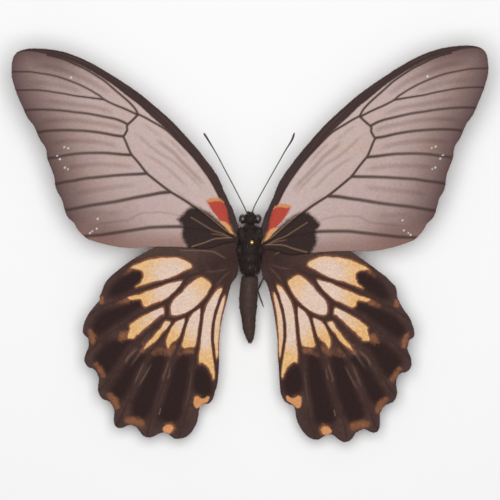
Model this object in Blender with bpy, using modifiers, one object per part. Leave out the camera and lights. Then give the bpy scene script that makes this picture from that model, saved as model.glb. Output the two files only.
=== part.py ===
"""A large swallowtail butterfly, pinned and spread, lying belly down: metres, +Z up, head towards +Y."""

import math

import bmesh
import bpy
from mathutils import Matrix, Vector

MM = 0.001

# The origin is the middle of the outline, at the level of the flat under the thorax.
ORIGIN_AHEAD_OF_WAIST = -1.15 * MM

WING_THICKNESS = 0.3 * MM
LATTICE_STEP = 4.5 * MM
OUTLINE_STEPS = 2

FOREWING_ROOT_HEIGHT = 7.95 * MM
HINDWING_ROOT_HEIGHT = 7.38 * MM
RISE_OUTWARDS = 0.012
RISE_FORWARDS = 0.043
DROP_BACKWARDS = 0.055
FOLD_LINE = -2.0 * MM

# Millimetres outwards from the middle of the body and forwards from its waist, on the left side.
FOREWING_OUTLINE = (
    (2.9, 3.4), (3.4, 4.8), (3.9, 6.1), (4.3, 7.3), (4.75, 8.7), (5.4, 9.8), (6.0, 11.1),
    (6.5, 12.3), (7.2, 13.6), (7.6, 14.8), (8.1, 15.9), (8.75, 17.4), (9.4, 18.3), (10.4, 19.85),
    (12.0, 21.85), (13.6, 23.9), (16.2, 26.95), (18.85, 29.85), (21.5, 32.6), (25.0, 35.7),
    (28.9, 39.0), (32.65, 41.7), (37.3, 44.7), (41.9, 47.45), (46.0, 49.5), (50.0, 50.95),
    (54.0, 51.8), (58.8, 52.1), (61.35, 51.8), (63.4, 50.9), (64.4, 49.3), (64.7, 47.0),
    (64.75, 45.0), (64.5, 43.5), (63.4, 40.0), (62.0, 36.7), (60.75, 33.9), (59.85, 32.5),
    (58.85, 31.3), (58.2, 30.0), (57.0, 27.3), (55.8, 25.6), (55.3, 24.3), (55.1, 22.3),
    (54.35, 20.3), (53.3, 17.7), (52.9, 14.9), (52.35, 13.15), (51.2, 11.25), (50.65, 9.4),
    (50.1, 7.35), (49.2, 5.9), (47.8, 4.65), (47.1, 3.25), (46.1, 2.05), (44.45, 0.55), (42.0, -0.4),
    (38.0, -1.45), (34.0, -2.05), (30.0, -2.05), (25.0, -1.8), (20.0, -1.85), (16.0, -2.1),
    (12.2, -2.3), (10.0, -2.0), (8.2, -1.3), (6.2, -0.7), (4.2, -0.5), (3.1, -0.4), (3.0, 1.4),
)
HINDWING_OUTLINE = (
    (3.3, -1.6), (4.7, 0.3), (7.5, 1.6), (11.5, 2.1), (15.5, 1.9), (19.5, 0.9), (23.0, -0.5),
    (25.2, -1.7), (27.8, -3.0), (31.15, -4.85), (34.35, -7.05), (37.8, -9.85), (39.35, -11.7),
    (40.1, -13.4), (40.5, -14.6), (40.9, -15.2), (40.8, -16.0), (41.25, -16.8), (42.25, -18.0),
    (43.8, -19.95), (44.9, -22.0), (45.45, -24.0), (45.4, -25.3), (44.75, -26.15), (44.0, -27.0),
    (43.9, -28.1), (44.0, -29.4), (44.5, -30.45), (44.95, -31.7), (45.1, -32.5), (44.9, -33.5),
    (44.4, -34.25), (43.7, -34.8), (42.9, -34.95), (42.25, -35.45), (41.75, -36.2), (41.3, -37.1),
    (41.1, -38.0), (41.3, -39.4), (41.4, -40.6), (41.2, -41.7), (40.7, -42.7), (39.95, -43.5),
    (38.7, -43.85), (38.0, -44.35), (37.4, -45.2), (37.0, -46.1), (36.95, -47.5), (37.1, -48.9),
    (36.9, -50.3), (36.3, -51.05), (35.4, -51.35), (34.2, -51.0), (33.2, -50.55), (32.2, -50.55),
    (31.1, -51.0), (30.3, -51.8), (29.5, -53.0), (28.55, -53.7), (27.4, -53.9), (26.2, -53.6),
    (25.0, -52.95), (24.0, -52.6), (23.0, -52.5), (22.0, -53.1), (21.2, -53.8), (20.3, -54.25),
    (19.0, -54.2), (17.65, -53.85), (16.4, -52.95), (15.4, -51.65), (14.5, -49.9), (14.1, -48.3),
    (13.9, -46.7), (13.45, -45.4), (12.45, -44.8), (11.2, -44.6), (10.4, -43.85), (9.9, -42.8),
    (9.5, -41.4), (9.0, -39.9), (8.7, -38.0), (8.55, -36.0), (8.4, -33.0), (8.4, -30.0),
    (8.3, -27.0), (8.0, -24.0), (7.5, -21.2), (6.9, -18.9), (6.4, -17.0), (5.9, -15.0),
    (5.4, -13.2), (5.0, -11.9), (4.3, -10.9), (3.5, -9.8), (3.2, -8.8), (3.15, -7.0), (3.25, -4.2),
)

# The right hindwing differs enough from the mirrored left one to have an outline of its own.
RIGHT_HINDWING_OUTLINE = (
    (3.35, -1.6), (4.7, 0.2), (7.5, 1.5), (11.5, 1.9), (15.5, 1.6), (19.5, 0.6), (23.0, -0.8),
    (25.2, -1.9), (27.3, -3.0), (29.2, -4.2), (31.05, -5.55), (33.0, -6.95), (35.0, -8.45),
    (37.0, -9.9), (37.95, -10.85), (38.8, -11.7), (39.4, -12.3), (39.85, -13.05), (40.1, -14.0),
    (40.1, -14.8), (40.25, -15.6), (40.55, -16.4), (41.1, -17.5), (41.85, -18.75), (42.7, -19.95),
    (43.5, -21.05), (44.1, -22.35), (44.55, -23.75), (44.85, -25.0), (44.85, -26.0), (44.55, -26.6),
    (43.85, -27.05), (43.4, -27.45), (43.3, -28.1), (43.1, -28.9), (42.95, -29.5), (43.1, -30.15),
    (43.45, -31.1), (43.9, -32.05), (44.1, -33.0), (44.1, -34.05), (43.75, -35.05), (43.1, -35.75),
    (42.25, -36.1), (41.5, -36.2), (40.9, -36.55), (40.4, -37.2), (40.05, -38.0), (39.95, -39.0),
    (40.0, -40.0), (40.2, -41.0), (40.2, -42.0), (39.95, -42.95), (39.5, -43.75), (38.8, -44.35),
    (37.95, -44.65), (37.2, -45.0), (36.5, -45.6), (35.95, -46.4), (35.65, -47.2), (35.5, -48.1),
    (35.5, -49.3), (35.5, -50.5), (35.3, -51.5), (34.8, -52.3), (34.0, -52.6), (33.0, -52.4),
    (32.2, -51.9), (31.0, -51.55), (30.05, -52.0), (29.15, -52.45), (28.6, -53.1), (28.15, -53.95),
    (27.5, -54.6), (26.8, -55.0), (25.95, -55.2), (25.05, -54.9), (24.3, -54.4), (23.5, -53.75),
    (22.8, -53.2), (22.0, -53.0), (21.15, -53.15), (20.45, -53.45), (19.9, -53.8), (19.3, -54.2),
    (18.8, -54.45), (17.9, -54.45), (16.9, -54.25), (16.0, -53.75), (15.25, -53.05), (14.6, -52.3),
    (13.9, -51.3), (13.35, -50.2), (12.9, -49.1), (12.65, -47.95), (12.5, -46.75), (12.3, -45.9),
    (11.9, -45.2), (11.0, -44.9), (10.2, -44.5), (9.6, -44.0), (9.05, -43.25), (8.7, -42.35),
    (8.4, -41.2), (8.3, -40.0), (8.2, -38.5), (8.1, -37.0), (8.0, -35.3), (7.85, -33.5),
    (7.7, -31.5), (7.65, -29.5), (7.65, -27.5), (7.45, -25.5), (7.2, -23.4), (6.85, -21.1),
    (6.4, -18.4), (5.75, -15.7), (5.2, -13.3), (4.7, -11.9), (4.1, -10.9), (3.5, -9.8),
    (3.3, -8.8), (3.25, -7.0), (3.35, -4.2),
)

# How the right forewing is set beside the mirrored left one: rows of a 2 x 2 stretch, and a shift.
RIGHT_FOREWING_SET = ((1.021, -0.0145), (0.0375, 1.0135), (-0.56 * MM, -2.1 * MM))
SAME_SET = ((1.0, 0.0), (0.0, 1.0), (0.0, 0.0))
NEAREST_ROOT = 3.0 * MM

# Rings along the body: station, middle x, middle z, half width, half height above and below.
THORAX_RINGS = (
    (5.0, 0.1, 6.4, 1.3, 1.6, 1.7),
    (4.4, 0.1, 6.0, 1.95, 2.5, 2.8),
    (3.4, 0.1, 5.5, 2.5, 3.6, 4.2),
    (1.9, 0.1, 5.1, 2.95, 4.7, 5.7),
    (0.2, 0.1, 5.0, 3.15, 5.2, 6.4),
    (-1.8, 0.1, 5.0, 3.2, 5.2, 6.5),
    (-3.8, 0.1, 5.0, 3.1, 4.9, 6.2),
    (-5.6, 0.1, 5.1, 2.9, 4.3, 5.4),
    (-7.0, 0.1, 5.2, 2.6, 3.6, 4.0),
    (-7.9, 0.0, 5.3, 2.2, 2.9, 2.9),
    (-8.3, 0.0, 5.3, 1.6, 2.0, 2.0),
)
ABDOMEN_RINGS = (
    (-8.9, 0.0, 5.4, 1.7, 1.7, 1.7),
    (-9.4, 0.0, 5.35, 2.3, 2.2, 2.2),
    (-10.6, 0.0, 5.3, 2.4, 2.35, 2.4),
    (-12.2, -0.25, 5.2, 2.47, 2.4, 2.5),
    (-14.0, -0.36, 5.1, 2.5, 2.4, 2.5),
    (-14.9, -0.36, 5.0, 2.55, 2.4, 2.5),
    (-16.4, -0.4, 4.85, 2.46, 2.3, 2.4),
    (-17.9, -0.43, 4.7, 2.4, 2.2, 2.3),
    (-19.0, -0.38, 4.55, 2.05, 2.0, 2.1),
    (-20.3, -0.2, 4.4, 1.88, 1.85, 1.9),
    (-22.3, -0.26, 4.2, 1.85, 1.75, 1.8),
    (-23.5, -0.15, 4.05, 1.65, 1.55, 1.6),
    (-24.6, -0.05, 3.95, 1.32, 1.3, 1.3),
    (-25.8, 0.05, 3.85, 0.98, 1.0, 1.0),
    (-26.8, 0.14, 3.8, 0.62, 0.65, 0.65),
    (-27.2, 0.12, 3.8, 0.45, 0.4, 0.4),
)

HEAD_CENTRE = (0.15, 6.85, 6.5)
HEAD_RADII = (1.75, 1.42, 1.7)
EYE_RADII = (1.05, 1.36, 1.5)
EYE_CENTRES = {"eye_left": (-1.92, 6.95, 6.45), "eye_right": (2.2, 6.95, 6.45)}
PALP_RADII = (0.36, 0.45, 0.95)
PALP_CENTRES = {"palp_left": (-0.3, 8.3, 5.6), "palp_right": (0.58, 8.3, 5.6)}
SOCKET_CLEARANCE = 0.07 * MM

PIN_PLACE = (0.6, 0.5)
PIN_RADIUS = 0.225 * MM
PIN_HOLE_RADIUS = 0.33 * MM
PIN_HEAD_RADIUS = 0.585 * MM
PIN_HEAD_HEIGHT = 13.2 * MM

# Each antenna: x, y, z and radius, from its socket to the tip of its club.
ANTENNAE = {
    "antenna_left": (
        (-0.5, 8.15, 7.75, 0.20), (-0.95, 9.0, 7.95, 0.16), (-2.0, 11.2, 8.3, 0.15),
        (-4.05, 15.2, 8.9, 0.15), (-6.6, 20.0, 9.6, 0.15), (-8.6, 23.8, 10.1, 0.155),
        (-9.9, 26.05, 10.4, 0.17), (-10.9, 27.7, 10.6, 0.22), (-11.7, 29.0, 10.75, 0.28),
        (-12.25, 29.85, 10.85, 0.26), (-12.5, 30.25, 10.9, 0.14),
    ),
    "antenna_right": (
        (0.55, 8.15, 7.75, 0.20), (0.85, 9.2, 7.95, 0.16), (1.75, 11.3, 8.3, 0.15),
        (3.9, 15.2, 8.9, 0.15), (6.6, 20.0, 9.6, 0.15), (8.4, 23.2, 10.1, 0.155),
        (9.7, 25.5, 10.4, 0.17), (10.8, 27.2, 10.6, 0.22), (11.55, 28.5, 10.75, 0.28),
        (11.95, 29.6, 10.85, 0.27), (12.15, 30.35, 10.9, 0.15),
    ),
}

# Each leg, folded against the body: femur, knee, shin and foot.
LEGS = {
    "leg_front_left": (
        (-2.95, 2.9, 1.6, 0.3), (-4.0, 4.4, 2.2, 0.34), (-5.1, 5.9, 2.5, 0.22),
        (-5.5, 4.0, 1.4, 0.2), (-5.6, 1.9, 0.5, 0.16), (-5.2, -0.2, 0.3, 0.14),
        (-4.9, -1.8, 0.3, 0.1),
    ),
    "leg_middle_left": (
        (-3.5, -0.7, 1.4, 0.32), (-5.2, 0.6, 2.3, 0.36), (-7.2, 1.3, 2.7, 0.22),
        (-7.8, -1.0, 1.7, 0.2), (-8.0, -3.6, 0.5, 0.16), (-7.8, -5.6, 0.3, 0.14),
        (-7.4, -7.2, 0.3, 0.1),
    ),
    "leg_hind_left": (
        (-3.4, -4.3, 1.5, 0.32), (-4.8, -4.0, 2.4, 0.36), (-6.5, -4.4, 3.0, 0.22),
        (-6.9, -6.6, 2.0, 0.2), (-6.9, -9.2, 0.7, 0.17), (-7.4, -11.4, 0.35, 0.14),
        (-8.0, -13.4, 0.3, 0.1),
    ),
    "leg_front_right": (
        (3.15, 2.8, 1.6, 0.3), (4.2, 4.2, 2.2, 0.34), (5.4, 5.6, 2.5, 0.22),
        (5.8, 3.8, 1.4, 0.2), (6.0, 1.7, 0.5, 0.16), (5.5, -0.3, 0.3, 0.14),
        (5.0, -2.0, 0.3, 0.1),
    ),
    "leg_middle_right": (
        (3.65, -0.9, 1.4, 0.32), (5.4, 0.2, 2.3, 0.36), (7.4, 0.9, 2.7, 0.22),
        (8.0, -1.4, 1.7, 0.2), (8.3, -4.0, 0.5, 0.16), (8.0, -6.0, 0.3, 0.14),
        (7.7, -7.6, 0.3, 0.1),
    ),
    "leg_hind_right": (
        (3.55, -4.4, 1.5, 0.32), (4.4, -5.6, 2.2, 0.36), (4.7, -7.6, 2.5, 0.22),
        (3.3, -10.2, 1.7, 0.19), (2.2, -12.6, 1.1, 0.17), (2.95, -14.9, 0.6, 0.15),
        (3.6, -16.6, 0.35, 0.13), (3.8, -17.2, 0.3, 0.1),
    ),
}

DARK_BROWN = ((0.035, 0.022, 0.019), 0.75, 0.0)
WING_PALE = ((0.55, 0.40, 0.36), 0.6, 0.0)
WING_DARK = ((0.045, 0.022, 0.018), 0.7, 0.0)
ABDOMEN_BROWN = ((0.08, 0.045, 0.035), 0.7, 0.0)
EYE_BLACK = ((0.012, 0.010, 0.011), 0.12, 0.0)
BRASS = ((0.83, 0.62, 0.24), 0.22, 1.0)
STEEL = ((0.35, 0.34, 0.33), 0.3, 1.0)


def clear_scene():
    """Empties the file, so that the part stands alone in it."""
    for item in list(bpy.data.objects):
        bpy.data.objects.remove(item, do_unlink=True)


def new_collection(name):
    """A collection linked to the scene."""
    made = bpy.data.collections.new(name)
    bpy.context.scene.collection.children.link(made)
    return made


def new_material(name, look):
    """A plain Principled material from a colour, a roughness and a metallic value."""
    colour, roughness, metallic = look
    made = bpy.data.materials.new(name)
    made.use_nodes = True
    shader = made.node_tree.nodes["Principled BSDF"]
    shader.inputs["Base Color"].default_value = (*colour, 1.0)
    shader.inputs["Roughness"].default_value = roughness
    shader.inputs["Metallic"].default_value = metallic
    return made


def placed(x, y, z):
    """A point read in millimetres from the waist, in the part's own frame."""
    return Vector((x * MM, y * MM - ORIGIN_AHEAD_OF_WAIST, z * MM))


def mesh_object(name, bm, collection, material, smooth=True):
    """Turns a bmesh into an object of the collection."""
    mesh = bpy.data.meshes.new(name)
    bmesh.ops.recalc_face_normals(bm, faces=bm.faces)
    bm.to_mesh(mesh)
    bm.free()
    made = bpy.data.objects.new(name, mesh)
    collection.objects.link(made)
    if material is not None:
        mesh.materials.append(material)
    if smooth:
        mesh.shade_smooth()
    return made


def rise(u, v, root_height):
    """Height of a wing's middle plane over the point (u, v), in metres from the waist."""
    ahead = max(0.0, v - FOLD_LINE)
    behind = min(0.0, v - FOLD_LINE)
    return root_height + RISE_OUTWARDS * (u - 3 * MM) + RISE_FORWARDS * ahead + DROP_BACKWARDS * behind


def flat_outline(name, outline):
    """A filled 2D curve through the outline's points."""
    curve = bpy.data.curves.new(name, "CURVE")
    curve.dimensions = "2D"
    curve.fill_mode = "BOTH"
    curve.resolution_u = OUTLINE_STEPS
    spline = curve.splines.new("BEZIER")
    spline.bezier_points.add(len(outline) - 1)
    for point, (u, v) in zip(spline.bezier_points, outline):
        point.co = (u * MM, v * MM, 0.0)
        point.handle_left_type = "AUTO"
        point.handle_right_type = "AUTO"
    spline.use_cyclic_u = True
    made = bpy.data.objects.new(name, curve)
    bpy.context.scene.collection.objects.link(made)
    return made


def wing(name, outline, setting, side, root_height, collection, material):
    """A thin cambered plate inside the outline, with its rim closed by Solidify."""
    guide = flat_outline(name + "_outline", outline)
    graph = bpy.context.evaluated_depsgraph_get()
    filled = bpy.data.meshes.new_from_object(guide.evaluated_get(graph))
    bpy.data.objects.remove(guide, do_unlink=True)
    bm = bmesh.new()
    bm.from_mesh(filled)
    bpy.data.meshes.remove(filled)
    bmesh.ops.remove_doubles(bm, verts=bm.verts, dist=0.02 * MM)
    bmesh.ops.dissolve_faces(bm, faces=bm.faces, use_verts=False)
    reach = [axis(corner.co[i] for corner in bm.verts) for i in (0, 1) for axis in (min, max)]
    for i, (low, high) in enumerate((reach[0:2], reach[2:4])):
        normal = Vector((1, 0, 0)) if i == 0 else Vector((0, 1, 0))
        count = int((high - low) / LATTICE_STEP)
        for step in range(1, count + 1):
            cut = low + (high - low) * step / (count + 1)
            geometry = bm.verts[:] + bm.edges[:] + bm.faces[:]
            bmesh.ops.bisect_plane(bm, geom=geometry, plane_co=normal * cut, plane_no=normal, dist=0.01 * MM)
    bmesh.ops.triangulate(bm, faces=bm.faces, quad_method="BEAUTY", ngon_method="BEAUTY")
    (uu, uv), (vu, vv), (shift_u, shift_v) = setting
    for corner in bm.verts:
        u, v = corner.co.x, corner.co.y
        height = rise(u, v, root_height)
        across = max(uu * u + uv * v + shift_u, NEAREST_ROOT)
        along = vu * u + vv * v + shift_v
        corner.co = Vector((side * across, along - ORIGIN_AHEAD_OF_WAIST, height))
    made = mesh_object(name, bm, collection, material)
    if sum(face.normal.z for face in made.data.polygons) < 0:
        made.data.flip_normals()
    plate = made.modifiers.new("thickness", "SOLIDIFY")
    plate.thickness = WING_THICKNESS
    plate.offset = 0.0
    plate.use_even_offset = True
    plate.use_rim = True
    return made


def ringed_body(name, rings, sides, collection, material):
    """A ball whose rings are set to the stations along the body, each with its own section."""
    bm = bmesh.new()
    bmesh.ops.create_uvsphere(bm, u_segments=sides, v_segments=len(rings) + 1, radius=1.0)
    levels = sorted({round(corner.co.z, 5) for corner in bm.verts})
    ends = {levels[0]: rings[-1], levels[-1]: rings[0]}
    for corner in bm.verts:
        level = round(corner.co.z, 5)
        if level in ends:
            y, x, z, width, up, down = ends[level]
            lean = -0.1 * width if level < 0 else 0.1 * width
            corner.co = placed(x, y + lean, z)
            continue
        ring = rings[len(rings) - levels.index(level)]
        y, x, z, width, up, down = ring
        angle = math.atan2(corner.co.y, corner.co.x)
        height = up if math.sin(angle) >= 0 else down
        corner.co = placed(x + width * math.cos(angle), y, z + height * math.sin(angle))
    return mesh_object(name, bm, collection, material)


def flatten_under(item):
    """Cuts the body off level at z = 0 and closes the cut with one flat face."""
    bm = bmesh.new()
    bm.from_mesh(item.data)
    geometry = bm.verts[:] + bm.edges[:] + bm.faces[:]
    cut = bmesh.ops.bisect_plane(
        bm, geom=geometry, plane_co=(0, 0, 0), plane_no=(0, 0, 1), dist=0.005 * MM, clear_inner=True
    )
    edges = [piece for piece in cut["geom_cut"] if isinstance(piece, bmesh.types.BMEdge)]
    bmesh.ops.contextual_create(bm, geom=edges)
    bmesh.ops.recalc_face_normals(bm, faces=bm.faces)
    bm.to_mesh(item.data)
    bm.free()


def ellipsoid(name, centre, radii, collection, material, sides=16, rings=10, grow=0.0):
    """A UV sphere stretched to three radii."""
    bm = bmesh.new()
    bmesh.ops.create_uvsphere(bm, u_segments=sides, v_segments=rings, radius=1.0)
    stretch = Matrix.Diagonal((*(radius * MM + grow for radius in radii), 1.0))
    bmesh.ops.transform(bm, matrix=stretch, verts=bm.verts)
    made = mesh_object(name, bm, collection, material)
    made.location = placed(*centre)
    return made


def cylinder(name, place, low, high, radius, collection, material, sides=14):
    """An upright cylinder between two heights."""
    bm = bmesh.new()
    bmesh.ops.create_cone(
        bm, cap_ends=True, segments=sides, radius1=radius, radius2=radius, depth=high - low
    )
    made = mesh_object(name, bm, collection, material, smooth=False)
    made.location = placed(*place, 0.0) + Vector((0, 0, (low + high) / 2))
    return made


def tube(name, points, collection, material, bevel_resolution=1):
    """A tapering tube along a line of points that each give their own radius in millimetres."""
    curve = bpy.data.curves.new(name, "CURVE")
    curve.dimensions = "3D"
    curve.bevel_depth = MM
    curve.bevel_resolution = bevel_resolution
    curve.use_fill_caps = True
    curve.materials.append(material)
    spline = curve.splines.new("POLY")
    spline.points.add(len(points) - 1)
    for point, (x, y, z, radius) in zip(spline.points, points):
        point.co = (*placed(x, y, z), 1.0)
        point.radius = radius
    made = bpy.data.objects.new(name, curve)
    collection.objects.link(made)
    return made


def cut_with(target, cutters):
    """Adds one exact Boolean difference for each cutter."""
    for cutter in cutters:
        cutter.hide_render = True
        cutter.display_type = "WIRE"
        difference = target.modifiers.new("cut by " + cutter.name, "BOOLEAN")
        difference.operation = "DIFFERENCE"
        difference.solver = "EXACT"
        difference.object = cutter


def build_head(parts, cutters, brown, black):
    """The head with sockets for the eyes, the eyes themselves and the two palps in front."""
    head = ellipsoid("head", HEAD_CENTRE, HEAD_RADII, parts, brown, sides=22, rings=14)
    holes = []
    for name, centre in EYE_CENTRES.items():
        ellipsoid(name, centre, EYE_RADII, parts, black, sides=16, rings=12)
        holes.append(
            ellipsoid(name + "_socket", centre, EYE_RADII, cutters, None, 16, 12, SOCKET_CLEARANCE)
        )
    for name, centre in PALP_CENTRES.items():
        palp = ellipsoid(name, centre, PALP_RADII, parts, brown, sides=12, rings=10)
        cut_with(
            palp,
            [ellipsoid(name + "_back", HEAD_CENTRE, HEAD_RADII, cutters, None, 22, 14, SOCKET_CLEARANCE)],
        )
    cut_with(head, holes)


def build_pin(parts, cutters, thorax, brass, steel):
    """The insect pin: a thin shaft through the thorax, cut off level below, and a round head."""
    cylinder("pin_shaft", PIN_PLACE, 0.02 * MM, PIN_HEAD_HEIGHT - 0.1 * MM, PIN_RADIUS, parts, steel)
    head = ellipsoid(
        "pin_head",
        (*PIN_PLACE, PIN_HEAD_HEIGHT / MM),
        (PIN_HEAD_RADIUS / MM,) * 3,
        parts,
        brass,
        sides=16,
        rings=10,
    )
    cut_with(
        head,
        [
            cylinder(
                "pin_head_socket",
                PIN_PLACE,
                PIN_HEAD_HEIGHT - 2 * MM,
                PIN_HEAD_HEIGHT,
                PIN_RADIUS + 0.07 * MM,
                cutters,
                None,
            )
        ],
    )
    cut_with(
        thorax,
        [cylinder("pin_hole", PIN_PLACE, -3 * MM, 14 * MM, PIN_HOLE_RADIUS, cutters, None)],
    )


def main():
    """Builds every piece of the specimen."""
    clear_scene()
    parts = new_collection("butterfly_specimen")
    cutters = new_collection("cutters")
    cutters.hide_render = True
    brown = new_material("hairy_brown", DARK_BROWN)
    pale = new_material("forewing_scales", WING_PALE)
    dark = new_material("hindwing_scales", WING_DARK)
    grey = new_material("abdomen_hair", ABDOMEN_BROWN)
    black = new_material("eye", EYE_BLACK)
    brass = new_material("pin_head_brass", BRASS)
    steel = new_material("pin_steel", STEEL)

    wing("forewing_left", FOREWING_OUTLINE, SAME_SET, -1, FOREWING_ROOT_HEIGHT, parts, pale)
    wing("forewing_right", FOREWING_OUTLINE, RIGHT_FOREWING_SET, 1, FOREWING_ROOT_HEIGHT, parts, pale)
    wing("hindwing_left", HINDWING_OUTLINE, SAME_SET, -1, HINDWING_ROOT_HEIGHT, parts, dark)
    wing("hindwing_right", RIGHT_HINDWING_OUTLINE, SAME_SET, 1, HINDWING_ROOT_HEIGHT, parts, dark)

    thorax = ringed_body("thorax", THORAX_RINGS, 20, parts, brown)
    flatten_under(thorax)
    ringed_body("abdomen", ABDOMEN_RINGS, 18, parts, grey)
    build_head(parts, cutters, brown, black)
    for name, points in ANTENNAE.items():
        tube(name, points, parts, brown)
    for name, points in LEGS.items():
        tube(name, points, parts, brown)
    build_pin(parts, cutters, thorax, brass, steel)


main()
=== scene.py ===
"""Dresses the pinned butterfly: veined and scaled wings, hairy body, eyes, antennae, legs and pin."""

import logging
import math
from dataclasses import dataclass
from enum import Enum

import bpy
import numpy as np
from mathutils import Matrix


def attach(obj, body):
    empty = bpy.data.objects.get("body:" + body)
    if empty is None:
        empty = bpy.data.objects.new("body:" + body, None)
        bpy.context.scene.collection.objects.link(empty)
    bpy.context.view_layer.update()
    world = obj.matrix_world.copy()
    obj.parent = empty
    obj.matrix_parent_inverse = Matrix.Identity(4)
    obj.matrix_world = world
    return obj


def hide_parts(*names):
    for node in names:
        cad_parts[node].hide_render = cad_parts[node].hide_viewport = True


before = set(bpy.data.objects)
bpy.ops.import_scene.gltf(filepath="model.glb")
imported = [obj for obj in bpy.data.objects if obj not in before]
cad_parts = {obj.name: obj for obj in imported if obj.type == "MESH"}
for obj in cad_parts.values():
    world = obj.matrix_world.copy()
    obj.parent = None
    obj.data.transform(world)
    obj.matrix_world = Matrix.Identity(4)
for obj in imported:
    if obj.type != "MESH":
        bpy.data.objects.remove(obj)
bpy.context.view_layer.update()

LOG = logging.getLogger("butterfly")
MM = 0.001
FLOOR_GAP = 0.02 * MM

# The share of its drawn colour that a wing shows between its darker and lighter scales.
EVEN_SHADE = 0.83
BODY = "root"

# The body's waist lies this far ahead of the origin, in millimetres.
WAIST_Y = 1.15

Colour = tuple[float, float, float, float]


class Side(Enum):
    """The side of the body that a paired piece is on, as the sign of X."""

    LEFT = -1
    RIGHT = 1


class Paper(Enum):
    """The squared paper that a line was drawn on: squares of the picture, or millimetres of the wing."""

    SQUARES = "squares"
    MILLIMETRES = "millimetres"


SQUARE = 0.27254
MIDLINE_SQUARE = 249.7
WAIST_SQUARE = 240.0


def shade(red: int, green: int, blue: int) -> Colour:
    """Turns a colour in steps of 0 to 255 into the linear colour that a shader takes."""
    linear = []
    for step in (red, green, blue):
        value = step / 255
        linear.append(value / 12.92 if value <= 0.04045 else ((value + 0.055) / 1.055) ** 2.4)
    return (linear[0], linear[1], linear[2], 1.0)


def drawn(text: str, paper: Paper = Paper.MILLIMETRES) -> np.ndarray:
    """Reads a drawn line.

    Args:
        text: Points as "x,y x,y".
        paper: What the numbers count.

    Returns:
        Points in millimetres outwards from the midline and forwards from the waist.
    """
    spots = np.array([[float(number) for number in pair.split(",")] for pair in text.split()])
    if paper is Paper.SQUARES:
        spots = np.stack([MIDLINE_SQUARE - spots[:, 0], WAIST_SQUARE - spots[:, 1]], axis=1) * SQUARE
    return spots


def smooth_line(spots: np.ndarray, closed: bool = False, parts: int = 5) -> np.ndarray:
    """Rounds a line with a Catmull-Rom curve.

    Args:
        spots: The line's own points, in two or three dimensions.
        closed: Whether the last point joins the first.
        parts: Steps between two points.

    Returns:
        The denser line, without the repeated first point when it is closed.
    """
    if closed:
        before, after = np.roll(spots, 1, 0), np.roll(spots, -1, 0)
        later = np.roll(spots, -2, 0)
        here = spots
    else:
        padded = np.concatenate([2 * spots[:1] - spots[1:2], spots, 2 * spots[-1:] - spots[-2:-1]])
        before, here, after, later = padded[:-3], padded[1:-2], padded[2:-1], padded[3:]
    steps = (np.arange(parts) / parts)[None, :, None]
    before, here, after, later = (side[:, None, :] for side in (before, here, after, later))
    curve = 0.5 * (
        2 * here
        + (after - before) * steps
        + (2 * before - 5 * here + 4 * after - later) * steps**2
        + (3 * here - before - 3 * after + later) * steps**3
    )
    flat = curve.reshape(-1, spots.shape[1])
    return flat if closed else np.concatenate([flat, spots[-1:]])


def line_distance(at: np.ndarray, line: np.ndarray) -> tuple[np.ndarray, np.ndarray]:
    """Measures how far points lie from a line.

    Args:
        at: Points, one a row.
        line: The line's points.

    Returns:
        The distance of each point, and where along the line it is nearest, from 0 to 1.
    """
    best = np.full(len(at), np.inf)
    along = np.zeros(len(at))
    pieces = len(line) - 1
    for index in range(pieces):
        start, run = line[index], line[index + 1] - line[index]
        length = max(float(run @ run), 1e-12)
        part = np.clip((at - start) @ run / length, 0.0, 1.0)
        gap = at - start - part[:, None] * run
        far = np.einsum("ij,ij->i", gap, gap)
        nearer = far < best
        best[nearer] = far[nearer]
        along[nearer] = (index + part[nearer]) / pieces
    return np.sqrt(best), along


def inside(at: np.ndarray, ring: np.ndarray) -> np.ndarray:
    """Tells which points lie inside a closed ring."""
    held = np.zeros(len(at), bool)
    for first, second in zip(ring, np.roll(ring, -1, 0)):
        crosses = (first[1] > at[:, 1]) != (second[1] > at[:, 1])
        slope = (second[0] - first[0]) / (second[1] - first[1] if second[1] != first[1] else 1e-9)
        held ^= crosses & (at[:, 0] < first[0] + (at[:, 1] - first[1]) * slope)
    return held


def depth_inside(at: np.ndarray, ring: np.ndarray) -> np.ndarray:
    """Gives the distance to a ring's edge, above zero inside it and below zero outside."""
    far, _ = line_distance(at, np.concatenate([ring, ring[:1]]))
    return np.where(inside(at, ring), far, -far)


def ease(value: np.ndarray, low: float, high: float) -> np.ndarray:
    """Rises smoothly from 0 at low to 1 at high."""
    part = np.clip((value - low) / (high - low), 0.0, 1.0)
    return part * part * (3 - 2 * part)


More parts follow.
